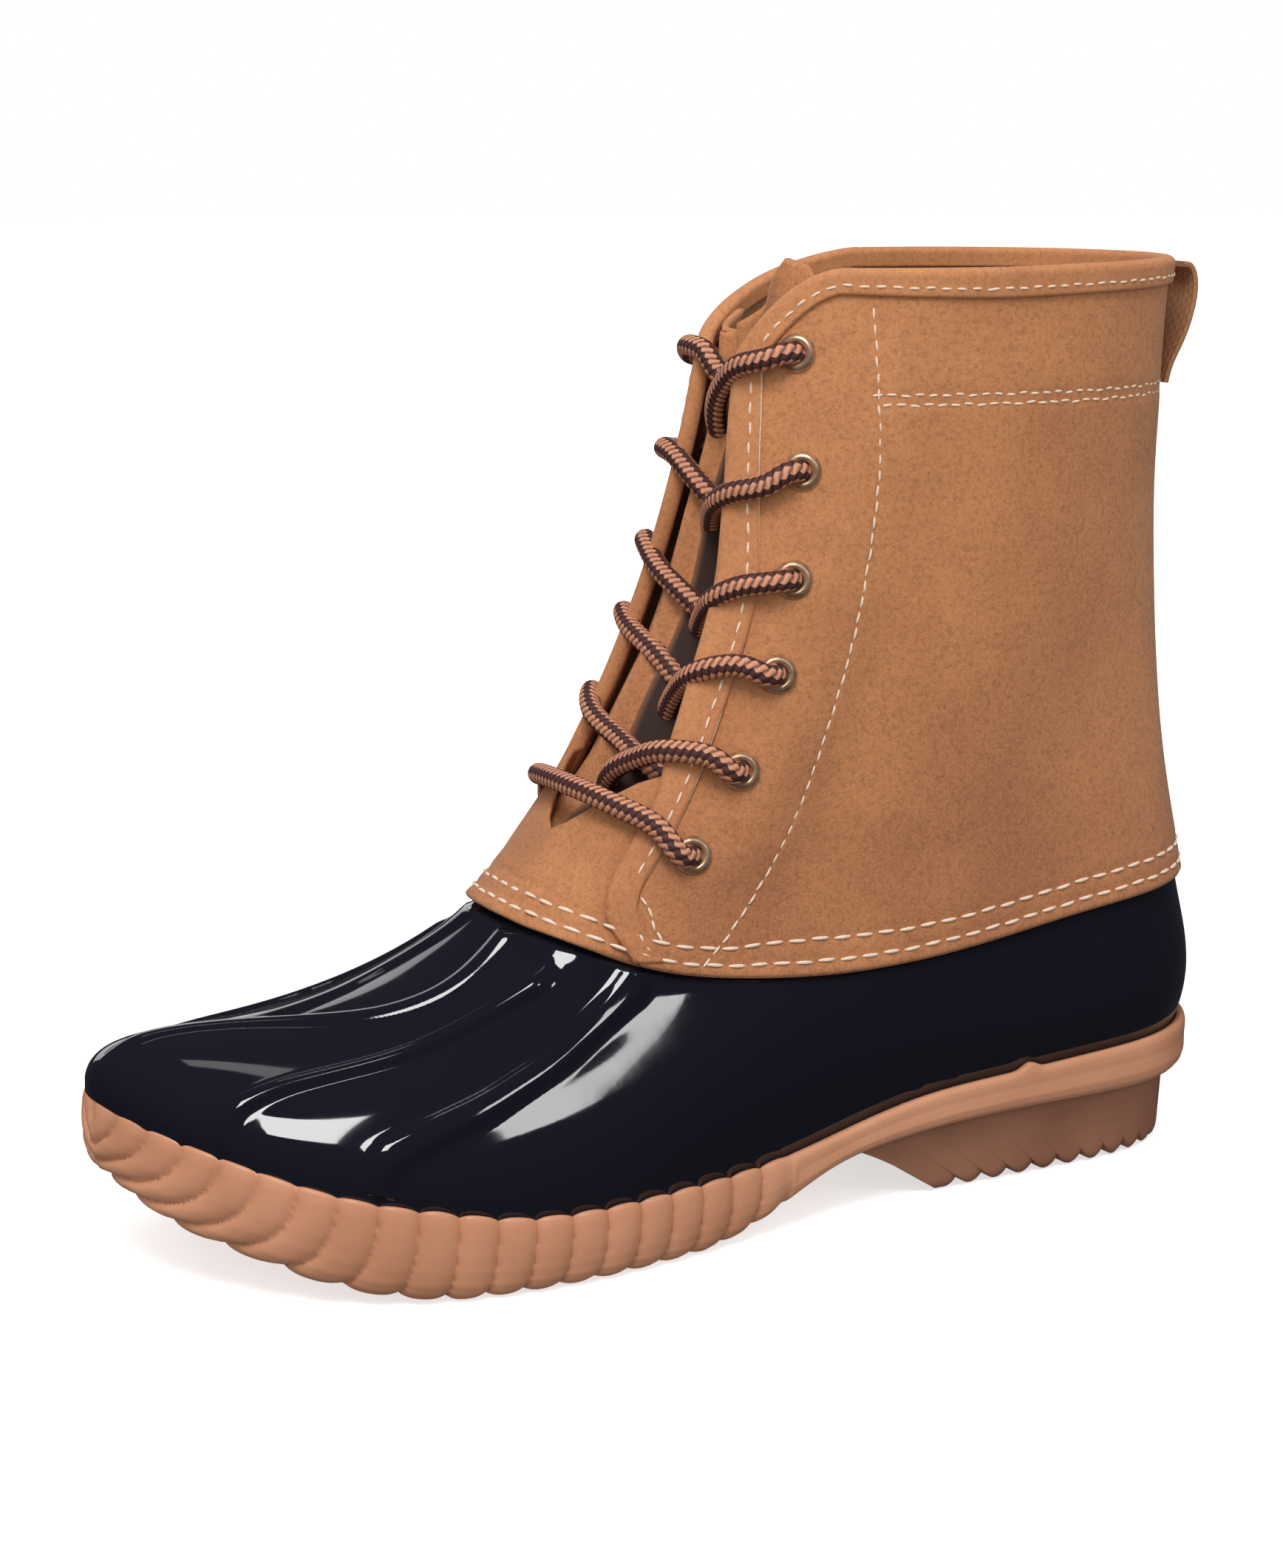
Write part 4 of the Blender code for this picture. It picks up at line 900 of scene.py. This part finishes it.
def band_shape(x, t):
    share, away, out = band_profile(t)
    points = np.empty(x.shape + (3,))
    for side, chosen in ((-1, x < SIDE_SHARE), (1, x > 1 - SIDE_SHARE)):
        along = np.where(side < 0, x, 1 - x)[chosen] / SIDE_SHARE
        distance, z, across, down = band_edge(side, along)
        width = np.where(along < CORNER_AT, band_width(np.clip(z, 60, 199)),
                         np.interp(along, [CORNER_AT, 0.8, 1.0], [5.6, 4.4, COLLAR_BAND]))
        inward = share[chosen] * width + away[chosen]
        u, h = beside_throat(z + down * inward, distance + across * inward, side)
        stand = out[chosen] + leather_relief(u, surface(u, h)[..., 2], h) * 0.6
        sewn_flat = np.clip((80 - z) / 9, 0, 1) * (along < CORNER_AT) * (t[chosen] < CORNER_AT)
        stand = stand - (BAND_TOP - 0.15) * sewn_flat
        points[chosen] = layer(u, h, stand)
    back = (x >= SIDE_SHARE) & (x <= 1 - SIDE_SHARE)
    u_from, _ = beside_throat(COLLAR_Z - 3, FRONT_REACH, -1)
    u_to, _ = beside_throat(COLLAR_Z - 3, FRONT_REACH, 1)
    u = u_from + (u_to - 1 - u_from) * (x[back] - SIDE_SHARE) / BACK_SHARE
    drop = share[back] * np.interp(np.abs(x[back] - 0.5), [0, 0.14], [4.8, COLLAR_BAND]) + away[back]
    drop = drop + corner_drop(FRONT_REACH + (x[back] - SIDE_SHARE) / BACK_SHARE * GIRTH_BEHIND, -1)
    points[back] = layer(u, level(u, COLLAR_Z - drop), out[back])
    return points


band = as_piece("edge_band_fold", laid(800, 32, band_shape, merge=False), ("edge_band",), 75)
give_wall(band, 0.5, offset=0.0)
band.data.materials.append(nubuck("tan_nubuck_band", (0.530, 0.222, 0.086), (0.385, 0.147, 0.058), 0.8))


def swept(work, centre, normals, radii, around, tops=(1.0, 1.0), start=0.0, length=0.0):
    """A round cord swept along places, by the radius at each row; tops squeezes its height and width."""
    rows = len(centre) - 1
    tangent = np.gradient(centre, axis=0)
    tangent /= np.linalg.norm(tangent, axis=1)[:, None]
    normals = normals - tangent * (normals * tangent).sum(1)[:, None]
    normals /= np.linalg.norm(normals, axis=1)[:, None]
    sides = np.cross(tangent, normals)
    grid = bmesh.new()
    uv = grid.loops.layers.uv.new("UVMap")
    bmesh.ops.create_grid(grid, x_segments=rows, y_segments=around, size=0.5, calc_uvs=True)
    flat = np.array([v.co[:2] for v in grid.verts]) + 0.5
    row = np.rint(flat[:, 0] * rows).astype(int)
    turn = flat[:, 1] * 2 * np.pi
    offset = normals[row] * (np.cos(turn) * tops[0])[:, None] + sides[row] * (np.sin(turn) * tops[1])[:, None]
    size = radii(row, flat[:, 1]) if callable(radii) else radii[row]
    for vertex, place_at in zip(grid.verts, centre[row] + offset * size[:, None] * MM):
        vertex.co = place_at
    for face in grid.faces:
        for corner in face.loops:
            corner[uv].uv.x = (corner[uv].uv.x * length + start) / 100.0
    bmesh.ops.remove_doubles(grid, verts=grid.verts, dist=1e-6)
    bmesh.ops.holes_fill(grid, edges=[e for e in grid.edges if e.is_boundary])
    bmesh.ops.recalc_face_normals(grid, faces=grid.faces)
    swept_mesh = bpy.data.meshes.new("swept")
    grid.to_mesh(swept_mesh)
    grid.free()
    work.from_mesh(swept_mesh)
    bpy.data.meshes.remove(swept_mesh)


border_work = bmesh.new()
for side in (-1, 1):
    z = np.linspace(76, 207 if side < 0 else 190, 300)
    u, h = beside_throat(z, band_width(np.clip(z, 60, 200)) + 0.1, side)
    centre, outer = layer(u, h, OUTSIDE + 0.34), layer(u, h, OUTSIDE + 1.34)
    fine = np.interp(z, [76, 86, 112, 128, 200, 207], [0.10, 0.26, 0.12, 0.14, 0.30, 0.26])
    swept(border_work, to_world(centre), to_world(outer) - to_world(centre), fine, 6, tops=(1.6, 1.0))
border = as_piece("band_raw_border", border_work, (), 180)
raw_edge, tree, shader, place = new_finish("raw_leather_edge", 0.85)
colour = blend_colour(tree, noise(tree, place.outputs["Object"], 800.0, 2.0), (0.42, 0.24, 0.13),
                      (0.80, 0.60, 0.44))
tree.links.new(colour, shader.inputs["Base Color"])
raised(tree, shader, grain(tree, 1500.0, 1.0), 0.0002, 0.6)
border.data.materials.append(raw_edge)

# Front tab: the vamp's tan leather between the feet of the facings, its free upper edge a shallow curve.
def tab_shape(x, t):
    top = np.interp(x, [0, 0.16, 0.3, 0.42, 0.5, 0.58, 0.7, 0.84, 1],
                    [107, 103.5, 98.5, 92.5, 90.5, 92.5, 98.5, 103.5, 107])
    foot_u = np.interp(x, [0, 1], [np.interp(68, EDGE_Z, EDGE[-1][0]), np.interp(68, EDGE_Z, EDGE[1][0])])
    low = surface(foot_u, np.ones(x.shape))[..., 2]
    z = low + (top - low) * t
    left, _ = beside_throat(z, 2.0, -1)
    right_u, _ = beside_throat(z, 2.0, 1)
    u = left + (right_u - left) * x
    h = np.where(t <= 0, 1.0, level(u, z))
    tuck = np.interp(np.abs(2 * x - 1), [0, 0.80, 1.0], [0.0, 0.0, 1.6])
    rim = 0.5 * np.clip(1 - (top - z) / 1.2, 0, 1) ** 2
    crease = 0.8 * bump(x - 0.30, 0.05) * bump(z - 84, 12) - 0.5 * bump(x - 0.42, 0.08) * bump(z - 88, 9)
    return layer(u, h, OUTSIDE - tuck - sewn_down(z - low) - rim - crease)


tab_mesh = laid(120, 60, tab_shape, merge=False)
bmesh.ops.reverse_faces(tab_mesh, faces=tab_mesh.faces)
tab = as_piece("front_tab_leather", tab_mesh, ("front_tab",), 70)
give_wall(tab, 1.5)
tab.data.materials.append(tan)


# Tongue: softer leather with bellows folds, its deep valley painted near black as shade. It rises behind the
# lacing and is sewn under both facings, with two pleats beside the inner facing.
def tongue_shape(x, t):
    share = 2 * x - 1
    top = np.interp(share, [-1, -0.8, -0.6, -0.3, 0.2, 1], [212, 219.0, 220.5, 211, 203, 207])
    z = 84 + (top - 84) * t
    left, _ = beside_throat(z, 18.0, -1)
    right_u, _ = beside_throat(z, 18.0, 1)
    u = left + (right_u - left) * x
    h = level(u, z)
    deep = np.clip((z - 90) / 16, 0, 1) * np.clip(1 - np.abs(share) ** 6, 0, 1)
    deep = deep * np.clip((224 - z) / 26, 0.1, 1)
    valley = 9.5 * bump(share + 0.26, 0.27)
    pleats = 2.6 * bump(share - 0.13, 0.06) + 2.8 * bump(share - 0.33, 0.06) - 1.4 * bump(share - 0.23, 0.05)
    waves = 0.7 * np.sin(z / 7.0 + 2 * share) * bump(share, 0.5)
    return layer(u, h, -0.9 - deep * (2.0 + valley + pleats + waves))


tongue_mesh = laid(120, 100, tongue_shape, merge=False)
bmesh.ops.reverse_faces(tongue_mesh, faces=tongue_mesh.faces)
tongue = as_piece("bellows_tongue", tongue_mesh, ("tongue",), 70)
give_wall(tongue, LEATHER_WALL)
tongue_leather_painted_shade = nubuck("tongue_nubuck_painted_shade", (0.520, 0.218, 0.082), (0.355, 0.135, 0.053))
tree = tongue_leather_painted_shade.node_tree
shader = tree.nodes["Principled BSDF"]
tan_colour = shader.inputs["Base Color"].links[0].from_socket
# Painted shade: by its UV, the tongue is near black in its valley and tan only on the pleats, beside the
# outer facing and at the top.
fold_place = tree.nodes.new("ShaderNodeTexCoord")
fold_split = tree.nodes.new("ShaderNodeSeparateXYZ")
tree.links.new(fold_place.outputs["UV"], fold_split.inputs[0])
right_of = ramp(tree, fold_split.outputs["X"], 0.50, 0.56)
left_of = ramp(tree, fold_split.outputs["X"], 0.34, 0.26)
at_top = ramp(tree, fold_split.outputs["Y"], 0.80, 0.92)
clear_of_painted_shade = math_node(tree, "MAXIMUM", math_node(tree, "MAXIMUM", right_of, left_of), at_top)
tree.links.new(blend_colour(tree, clear_of_painted_shade, (0.035, 0.015, 0.010), tan_colour), shader.inputs["Base Color"])
tongue.data.materials.append(tongue_leather_painted_shade)

# Insole: a foam sock with a brushed face, laid loose on the sole's bed.
def insole_shape(w, t):
    inset, lift, middle = along_rows([(8.7, 0.3, 1.0, 0), (8.7, 0.3, 0.0, 6), (8.2, 1.2, 0, 2),
                                      (8.2, 2.8, 0, 2), (8.9, 3.7, 0, 2), (9.6, 3.8, 0, 1),
                                      (9.6, 3.8, 1, 10)], t)
    edge = sole_curve(w) - outward(sole_curve, w)[..., :2] * inset[..., None]
    twin = sole_curve(1 - w) - outward(sole_curve, 1 - w)[..., :2] * inset[..., None]
    plan = edge * (1 - middle[..., None]) + (edge + twin) / 2 * middle[..., None]
    base = seam_z(sole_curve(w)[..., 0]) - 5.2
    return np.stack([plan[..., 0], plan[..., 1], base + lift], -1)


insole = as_piece("insole_sock", laid(160, 26, insole_shape), ("insole",), 60)
insole.data.materials.append(lining)

# Pull loop: tan webbing, folded over and sewn to the collar's edge and to the back of the shaft.
LOOP_PATH = [(12.2, 217.6), (9.9, 217.2), (8.2, 214.0), (8.4, 208.0), (10.9, 200.5), (14.2, 194.4),
             (16.0, 189.3)]
loop_knots = np.arange(len(LOOP_PATH), dtype=float)
loop_curve = spline(np.column_stack([loop_knots, LOOP_PATH]))


def loop_shape(x, t):
    turn = t * 4
    along = x * (len(LOOP_PATH) - 1)
    centre = loop_curve(along)
    tangent = loop_curve(along + 1e-3) - loop_curve(along - 1e-3)
    tangent /= np.linalg.norm(tangent, axis=-1)[..., None]
    normal = np.stack([-tangent[..., 1], tangent[..., 0]], -1)
    across = np.interp(turn, [0, 0.15, 1.85, 2, 2.15, 3.85, 4], [-9.5, -9.3, 9.3, 9.5, 9.3, -9.3, -9.5])
    stand = np.interp(turn, [0, 0.15, 1.85, 2, 2.15, 3.85, 4], [0, 0.62, 0.62, 0, -0.62, -0.62, 0])
    rib = 0.10 * np.cos(across * 2 * np.pi / 1.9) * np.sign(stand)
    moved = centre + normal * (stand + rib)[..., None]
    return np.stack([moved[..., 0], across * (1 - 0.06 * np.sin(np.pi * x)), moved[..., 1]], -1)


loop_mesh = laid(90, 120, loop_shape)
bmesh.ops.holes_fill(loop_mesh, edges=[e for e in loop_mesh.edges if e.is_boundary])
bmesh.ops.recalc_face_normals(loop_mesh, faces=loop_mesh.faces)
loop = as_piece("webbing_loop", loop_mesh, ("pull_loop",), 60)
webbing, tree, shader, place = new_finish("tan_webbing", 0.85)
mapping = tree.nodes.new("ShaderNodeMapping")
mapping.inputs["Scale"].default_value = (34.0, 26.0, 1.0)
tree.links.new(place.outputs["UV"], mapping.inputs["Vector"])
weave = tree.nodes.new("ShaderNodeTexChecker")
weave.inputs["Scale"].default_value = 1.0
tree.links.new(mapping.outputs["Vector"], weave.inputs["Vector"])
colour = blend_colour(tree, weave.outputs["Fac"], (0.31, 0.145, 0.062), (0.39, 0.19, 0.083))
tree.links.new(colour, shader.inputs["Base Color"])
raised(tree, shader, weave.outputs["Fac"], 0.0002, 0.5)
loop.data.materials.append(webbing)

# Eyelets: rolled antique brass, each with a barrel through the leather, twelve in all.
EYELET_PROFILE = [(2.15, -2.2), (2.15, -0.6), (2.2, 0.4), (2.5, 0.95), (3.05, 1.25), (3.7, 1.1),
                  (4.2, 0.62), (4.45, 0.1), (4.4, -0.05), (3.2, -0.05), (2.45, -0.5), (2.4, -2.2)]
brass_work = bmesh.new()
for centre, normal in eyelet_places:
    turn = Vector(normal).to_track_quat("Z", "Y").to_matrix().to_4x4()
    seat = Matrix.Translation(Vector(centre)) @ turn
    ring = [brass_work.verts.new(Vector((r * MM, 0, z * MM))) for r, z in EYELET_PROFILE]
    edges = [brass_work.edges.new((a, b)) for a, b in zip(ring, ring[1:] + ring[:1])]
    bmesh.ops.spin(brass_work, geom=ring + edges, cent=(0, 0, 0), axis=(0, 0, 1), angle=2 * math.pi,
                          steps=40, use_merge=True)
    fresh = [v for v in brass_work.verts if not v.tag]
    bmesh.ops.transform(brass_work, matrix=seat, verts=fresh)
    for v in fresh:
        v.tag = True
bmesh.ops.remove_doubles(brass_work, verts=brass_work.verts, dist=1e-6)
bmesh.ops.recalc_face_normals(brass_work, faces=brass_work.faces)
eyelet_names = [f"eyelet_{word}_{n}" for word in ("outer", "inner") for n in range(1, 7)]
eyelets = as_piece("brass_eyelets", brass_work, eyelet_names, 60)
brass, tree, shader, place = new_finish("antique_brass", 0.32)
shader.inputs["Metallic"].default_value = 0.85
tarnish = noise(tree, place.outputs["Object"], 420.0, 4.0)
colour = blend_colour(tree, ramp(tree, tarnish, 0.35, 0.7), (0.84, 0.56, 0.36), (0.40, 0.235, 0.13))
tree.links.new(colour, shader.inputs["Base Color"])
tree.links.new(ramp(tree, tarnish, 0.3, 0.7, 0.30, 0.48), shader.inputs["Roughness"])
eyelets.data.materials.append(brass)

# Stitches: thick cream thread, sewn in rows by machine. Each row is one thread, which stands up as a
# rounded bead for each stitch and dives into its needle holes between them.
thread_work = bmesh.new()


def sew(places, normals, pitch, length, thick, wander=0.12):
    """A row of stitches along a line of places, one each pitch, all in millimetres."""
    arc = np.concatenate([[0], np.cumsum(np.linalg.norm(np.diff(places, axis=0), axis=1))])
    count = int(arc[-1] / pitch)
    share = np.array([-0.5, -0.42, -0.25, 0.0, 0.25, 0.42, 0.5])
    n = np.arange(count)[:, None]
    along = ((n + 0.5) * pitch + share * length).ravel()
    sway = (wander * np.sin(n * 2.4) + wander * 1.4 * share * np.cos(n * 1.7)).ravel()
    body = np.tile(np.sqrt(np.clip(1 - (2 * share) ** 2, 0, 1)) * 0.92 + 0.08, count)
    centre = np.stack([np.interp(along, arc, places[:, k]) for k in range(3)], -1)
    normal = np.stack([np.interp(along, arc, normals[:, k]) for k in range(3)], -1)
    side = np.cross(np.gradient(centre, axis=0), normal)
    side /= np.linalg.norm(side, axis=1)[:, None]
    rise = np.tile(np.array([-0.55, -0.12, 0.05, 0.1, 0.05, -0.12, -0.55]), count) * thick
    centre = centre + normal * rise[:, None] + side * sway[:, None]
    out_of = to_world(centre + normal) - to_world(centre)
    swept(thread_work, to_world(centre), out_of, body * thick / 2, 6, tops=(0.85, 1.0))


def sew_on(u, h, out, pitch, length, thick, wander=0.12):
    here = layer(u, h, out)
    sew(here, layer(u, h, np.asarray(out) + 1.0) - here, pitch, length, thick, wander)


# Two rows round the lower edge, following the tab across the front.
around = np.linspace(0, 1, 700)
for lift in LOWER_ROWS:
    u = around
    h = above_top_line(u, lift)
    sew_on(u, h, np.full(u.shape, OUTSIDE - 0.10), 5.8, 4.6, 0.95)
# One row beside each throat edge and along the collar.
for side in (-1, 1):
    z = np.linspace(84, 196, 200)
    u, h = beside_throat(z, band_width(z) - 2.0, side)
    sew_on(u, h, np.full(u.shape, OUTSIDE + BAND_TOP + 0.26), 4.5, 3.1, 0.62)
    along = np.linspace(0.66, 1.0, 160)
    distance, z, across, down = band_edge(side, along)
    inward = np.interp(along, [0.62, 0.8, 1.0], [3.6, 2.6, 3.6])
    u, h = beside_throat(z + down * inward, distance + across * inward, side)
    sew_on(u, h, np.full(u.shape, OUTSIDE + BAND_TOP + 0.26), 3.75, 2.6, 0.66)
u_from = float(beside_throat(216.0, FRONT_REACH - 3.6, -1)[0])
u_to = float(beside_throat(216.0, FRONT_REACH, 1)[0]) - 1
u = np.linspace(u_from, u_to, 300)
below = np.interp(np.abs(np.linspace(-1, 1, 300)), [0, 1], [3.0, 3.6])
below = below + corner_drop(FRONT_REACH + np.linspace(0, 1, 300) * GIRTH_BEHIND, -1)
sew_on(u, level(u, COLLAR_Z - below), np.full(u.shape, OUTSIDE + BAND_TOP + 0.26), 3.75, 2.6, 0.66)
# The side seams, and the two rows round the back that close the upper quarter.
for mirrored in (False, True):
    z = np.linspace(64, 212.5, 260)
    u = 1 - side_seam(z) if mirrored else side_seam(z)
    sew_on(u, level(u, z), np.full(u.shape, OUTSIDE - 0.20), 3.6, 2.9, 0.62)
for height, start in ((190.7, 0.337), (188.5, 0.327)):
    u = np.linspace(start, -start, 420)
    sew_on(u, level(u, np.full(u.shape, height)), np.full(u.shape, OUTSIDE - 0.18), 3.3, 2.7, 0.66, 0.2)
# The back-tack where each facing ends in the lower seam: two rows.
FOOT_ROWS = [[(0.4093, 80.4), (0.3940, 74.6), (0.3807, 70.7), (0.3687, 68.1)],
             [(0.4020, 80.3), (0.3927, 77.7), (0.3780, 72.9), (0.3653, 69.3)]]
for row in FOOT_ROWS:
    knots = np.linspace(0, 1, len(row))
    fine = np.linspace(0, 1, 60)
    u, z = (np.interp(fine, knots, [point[k] for point in row]) for k in (0, 1))
    for turn_u in (u, 1 - u):
        sew_on(turn_u, level(turn_u, z), np.full(u.shape, OUTSIDE + 0.12), 2.9, 2.4, 0.7, 0.2)
stitches = as_piece("cream_stitches", thread_work, (), 180)
thread, tree, shader, place = new_finish("cream_thread", 0.7)
colour = blend_colour(tree, noise(tree, place.outputs["Object"], 900.0, 2.0), (0.70, 0.52, 0.39),
                      (0.86, 0.70, 0.56))
tree.links.new(colour, shader.inputs["Base Color"])
raised(tree, shader, grain(tree, 2600.0, 1.0), 0.0002, 0.6)
stitches.data.materials.append(thread)

# Lace: one round braided cord, 5 mm thick, in dark brown and tan. The bar joins the lowest eyelets, then
# each strand leaves its eyelet, crosses over the other side's and turns down into the throat.
CORD, PICK = 2.55, 1.75
NEAR = {
    1: [(133.5, -19.2, 198.8), (137.6, -13.0, 197.0), (138.9, -6.0, 193.2), (138.6, 0.0, 188.1),
        (136.0, 5.0, 181.5), (131.5, 9.5, 177.0)],
    2: [(135.5, -23.8, 171.3), (140.6, -18.4, 169.4), (143.0, -11.0, 166.6), (141.4, -3.5, 163.0),
        (137.5, 4.0, 157.0), (133.0, 10.0, 152.0)],
    3: [(137.4, -27.9, 149.7), (142.9, -23.9, 148.6), (146.8, -18.0, 145.7), (145.8, -9.5, 141.6),
        (143.6, -2.0, 136.5), (139.5, 6.0, 130.0)],
    4: [(143.1, -29.2, 131.1), (148.6, -25.0, 131.0), (152.7, -19.4, 128.9), (152.8, -10.0, 123.8),
        (151.8, -2.5, 117.4), (148.0, 5.0, 110.0)],
    5: [(151.1, -30.6, 110.8), (156.6, -26.4, 112.3), (161.6, -21.5, 112.1), (164.6, -13.0, 109.2),
        (166.6, -5.0, 105.2), (165.0, 3.0, 99.5)],
}
FAR = {
    1: [(133.2, 19.0, 198.6), (136.2, 12.5, 199.0), (137.2, 7.4, 197.9), (136.6, 3.4, 194.6),
        (133.8, -2.5, 191.2), (131.0, -7.0, 187.0)],
    2: [(137.0, 22.5, 174.8), (140.6, 14.5, 174.4), (141.8, 9.2, 172.3), (141.0, 4.0, 169.2),
        (138.0, -3.0, 164.0), (134.5, -8.5, 160.0)],
    3: [(139.5, 26.5, 152.6), (144.4, 18.6, 151.4), (146.6, 12.2, 148.5), (145.9, 4.5, 145.0),
        (142.2, -4.5, 139.4), (138.5, -11.0, 135.0)],
    4: [(144.0, 28.5, 135.0), (149.4, 20.0, 134.6), (151.2, 13.2, 132.4), (150.2, 4.5, 129.0),
        (147.6, -5.0, 122.6), (144.0, -12.0, 117.0)],
    5: [(151.5, 29.8, 115.4), (158.2, 21.4, 116.6), (161.4, 14.4, 113.8), (160.2, 5.0, 110.4),
        (158.6, -5.5, 106.4), (155.0, -13.0, 102.0)],
}
BAR = [(163.6, -29.3, 94.8), (169.3, -22.0, 99.4), (173.3, -11.9, 101.6), (174.8, 0.0, 102.2),
       (173.9, 11.0, 101.6), (169.6, 21.6, 99.4), (163.6, 29.3, 94.8)]


# The strands lie closer to the boot than the traced points, and their ends dive under the other facing.
for strands, closer, dive in ((NEAR, (0, 0.8, 2.0, 2.8, 3.2, 3.6), (-6.5, 9.0, -4.0)),
                              (FAR, (0, 1.5, 2.6, 2.4, 2.0, 2.0), (-6.0, -9.0, -4.5))):
    for number, points in strands.items():
        points[:] = [(s - back_by, y, z) for (s, y, z), back_by in zip(points, closer)]
        points.append(tuple(a + b for a, b in zip(points[-1], dive)))


def through_eyelet(side, number):
    """Places of the cord from inside the boot, up through the eyelet and over its rolled edge."""
    z, distance = EYELETS[side][number - 1]
    found = []
    for toward, out in ((0.0, -5.0), (0.1, -1.0), (0.4, 2.0), (2.2, 4.7)):
        u, h = beside_throat(z - toward * 0.15, distance - toward, side)
        found.append(tuple(layer(u, h, np.array(out))))
    return found


def cord_along(work, points, start):
    """Sweeps the round cord along the points; its map's u runs along it, v round it."""
    points = np.array(points, float)
    arc = np.concatenate([[0], np.cumsum(np.linalg.norm(np.diff(points, axis=0), axis=1))])
    path = spline(np.column_stack([arc, points]))
    rows = int(arc[-1] / 0.40)
    where = np.linspace(0, arc[-1], rows + 1)
    centre = to_world(path(where))
    tangent = np.gradient(centre, axis=0)
    tangent /= np.linalg.norm(tangent, axis=1)[:, None]
    normal = np.cross(tangent[0], (0.3, 0.5, 0.8))
    normals = []
    for row in tangent:
        normal = normal - row * (normal @ row)
        normal /= np.linalg.norm(normal)
        normals.append(normal)

    def braided(row, share):
        along = where[row] + start
        zigzag = 0.36 * np.abs((along / PICK + 0.5) % 1.0 - 0.5)
        stripe = (share * 4 + zigzag) % 1.0
        picks = np.abs(np.sin(np.pi * (along / PICK + stripe * 1.1))) ** 0.6
        return CORD * (0.93 + 0.07 * picks)

    swept(work, centre, np.array(normals), braided, 32, start=start, length=arc[-1])


lace_work = bmesh.new()
lace_work.loops.layers.uv.new("UVMap")
for number in range(1, 6):
    cord_along(lace_work, through_eyelet(-1, number) + NEAR[number], 3.0 * number)
    cord_along(lace_work, through_eyelet(1, number) + FAR[number], 5.0 * number)
cord_along(lace_work, through_eyelet(-1, 6) + BAR + through_eyelet(1, 6)[::-1], 1.0)
lace = as_piece("braided_lace", lace_work, ["lace_bar"] + [f"lace_cross_{n}" for n in range(1, 6)],
                180)
cord_finish, tree, shader, place = new_finish("braided_cord", 0.72)
split = tree.nodes.new("ShaderNodeSeparateXYZ")
tree.links.new(place.outputs["UV"], split.inputs[0])
length_picks = math_node(tree, "MULTIPLY", split.outputs["X"], 100.0 / PICK)
round_rows = math_node(tree, "MULTIPLY", split.outputs["Y"], 4.0)
zigzag = math_node(tree, "MULTIPLY", math_node(tree, "PINGPONG", length_picks, 0.5), 0.36)
stripe = math_node(tree, "FRACT", math_node(tree, "ADD", round_rows, zigzag), 0.0)
two_tone = ramp(tree, stripe, 0.50, 0.56)
slant = math_node(tree, "ADD", length_picks, math_node(tree, "MULTIPLY", stripe, 1.1))
picks = math_node(tree, "PINGPONG", slant, 0.5)
# The dark slanted line between picks is painted shade in the braid's grooves; the tan and dark brown yarns
# are the cord's own colours.
shade = ramp(tree, picks, 0.02, 0.28, 0.0, 1.0)
tan_yarn_and_shade = blend_colour(tree, shade, (0.15, 0.050, 0.030), (0.60, 0.265, 0.150))
brown_yarn_and_shade = blend_colour(tree, shade, (0.022, 0.006, 0.006), (0.082, 0.024, 0.020))
tree.links.new(blend_colour(tree, two_tone, tan_yarn_and_shade, brown_yarn_and_shade), shader.inputs["Base Color"])
raised(tree, shader, picks, 0.0006, 0.5)
lace.data.materials.append(cord_finish)
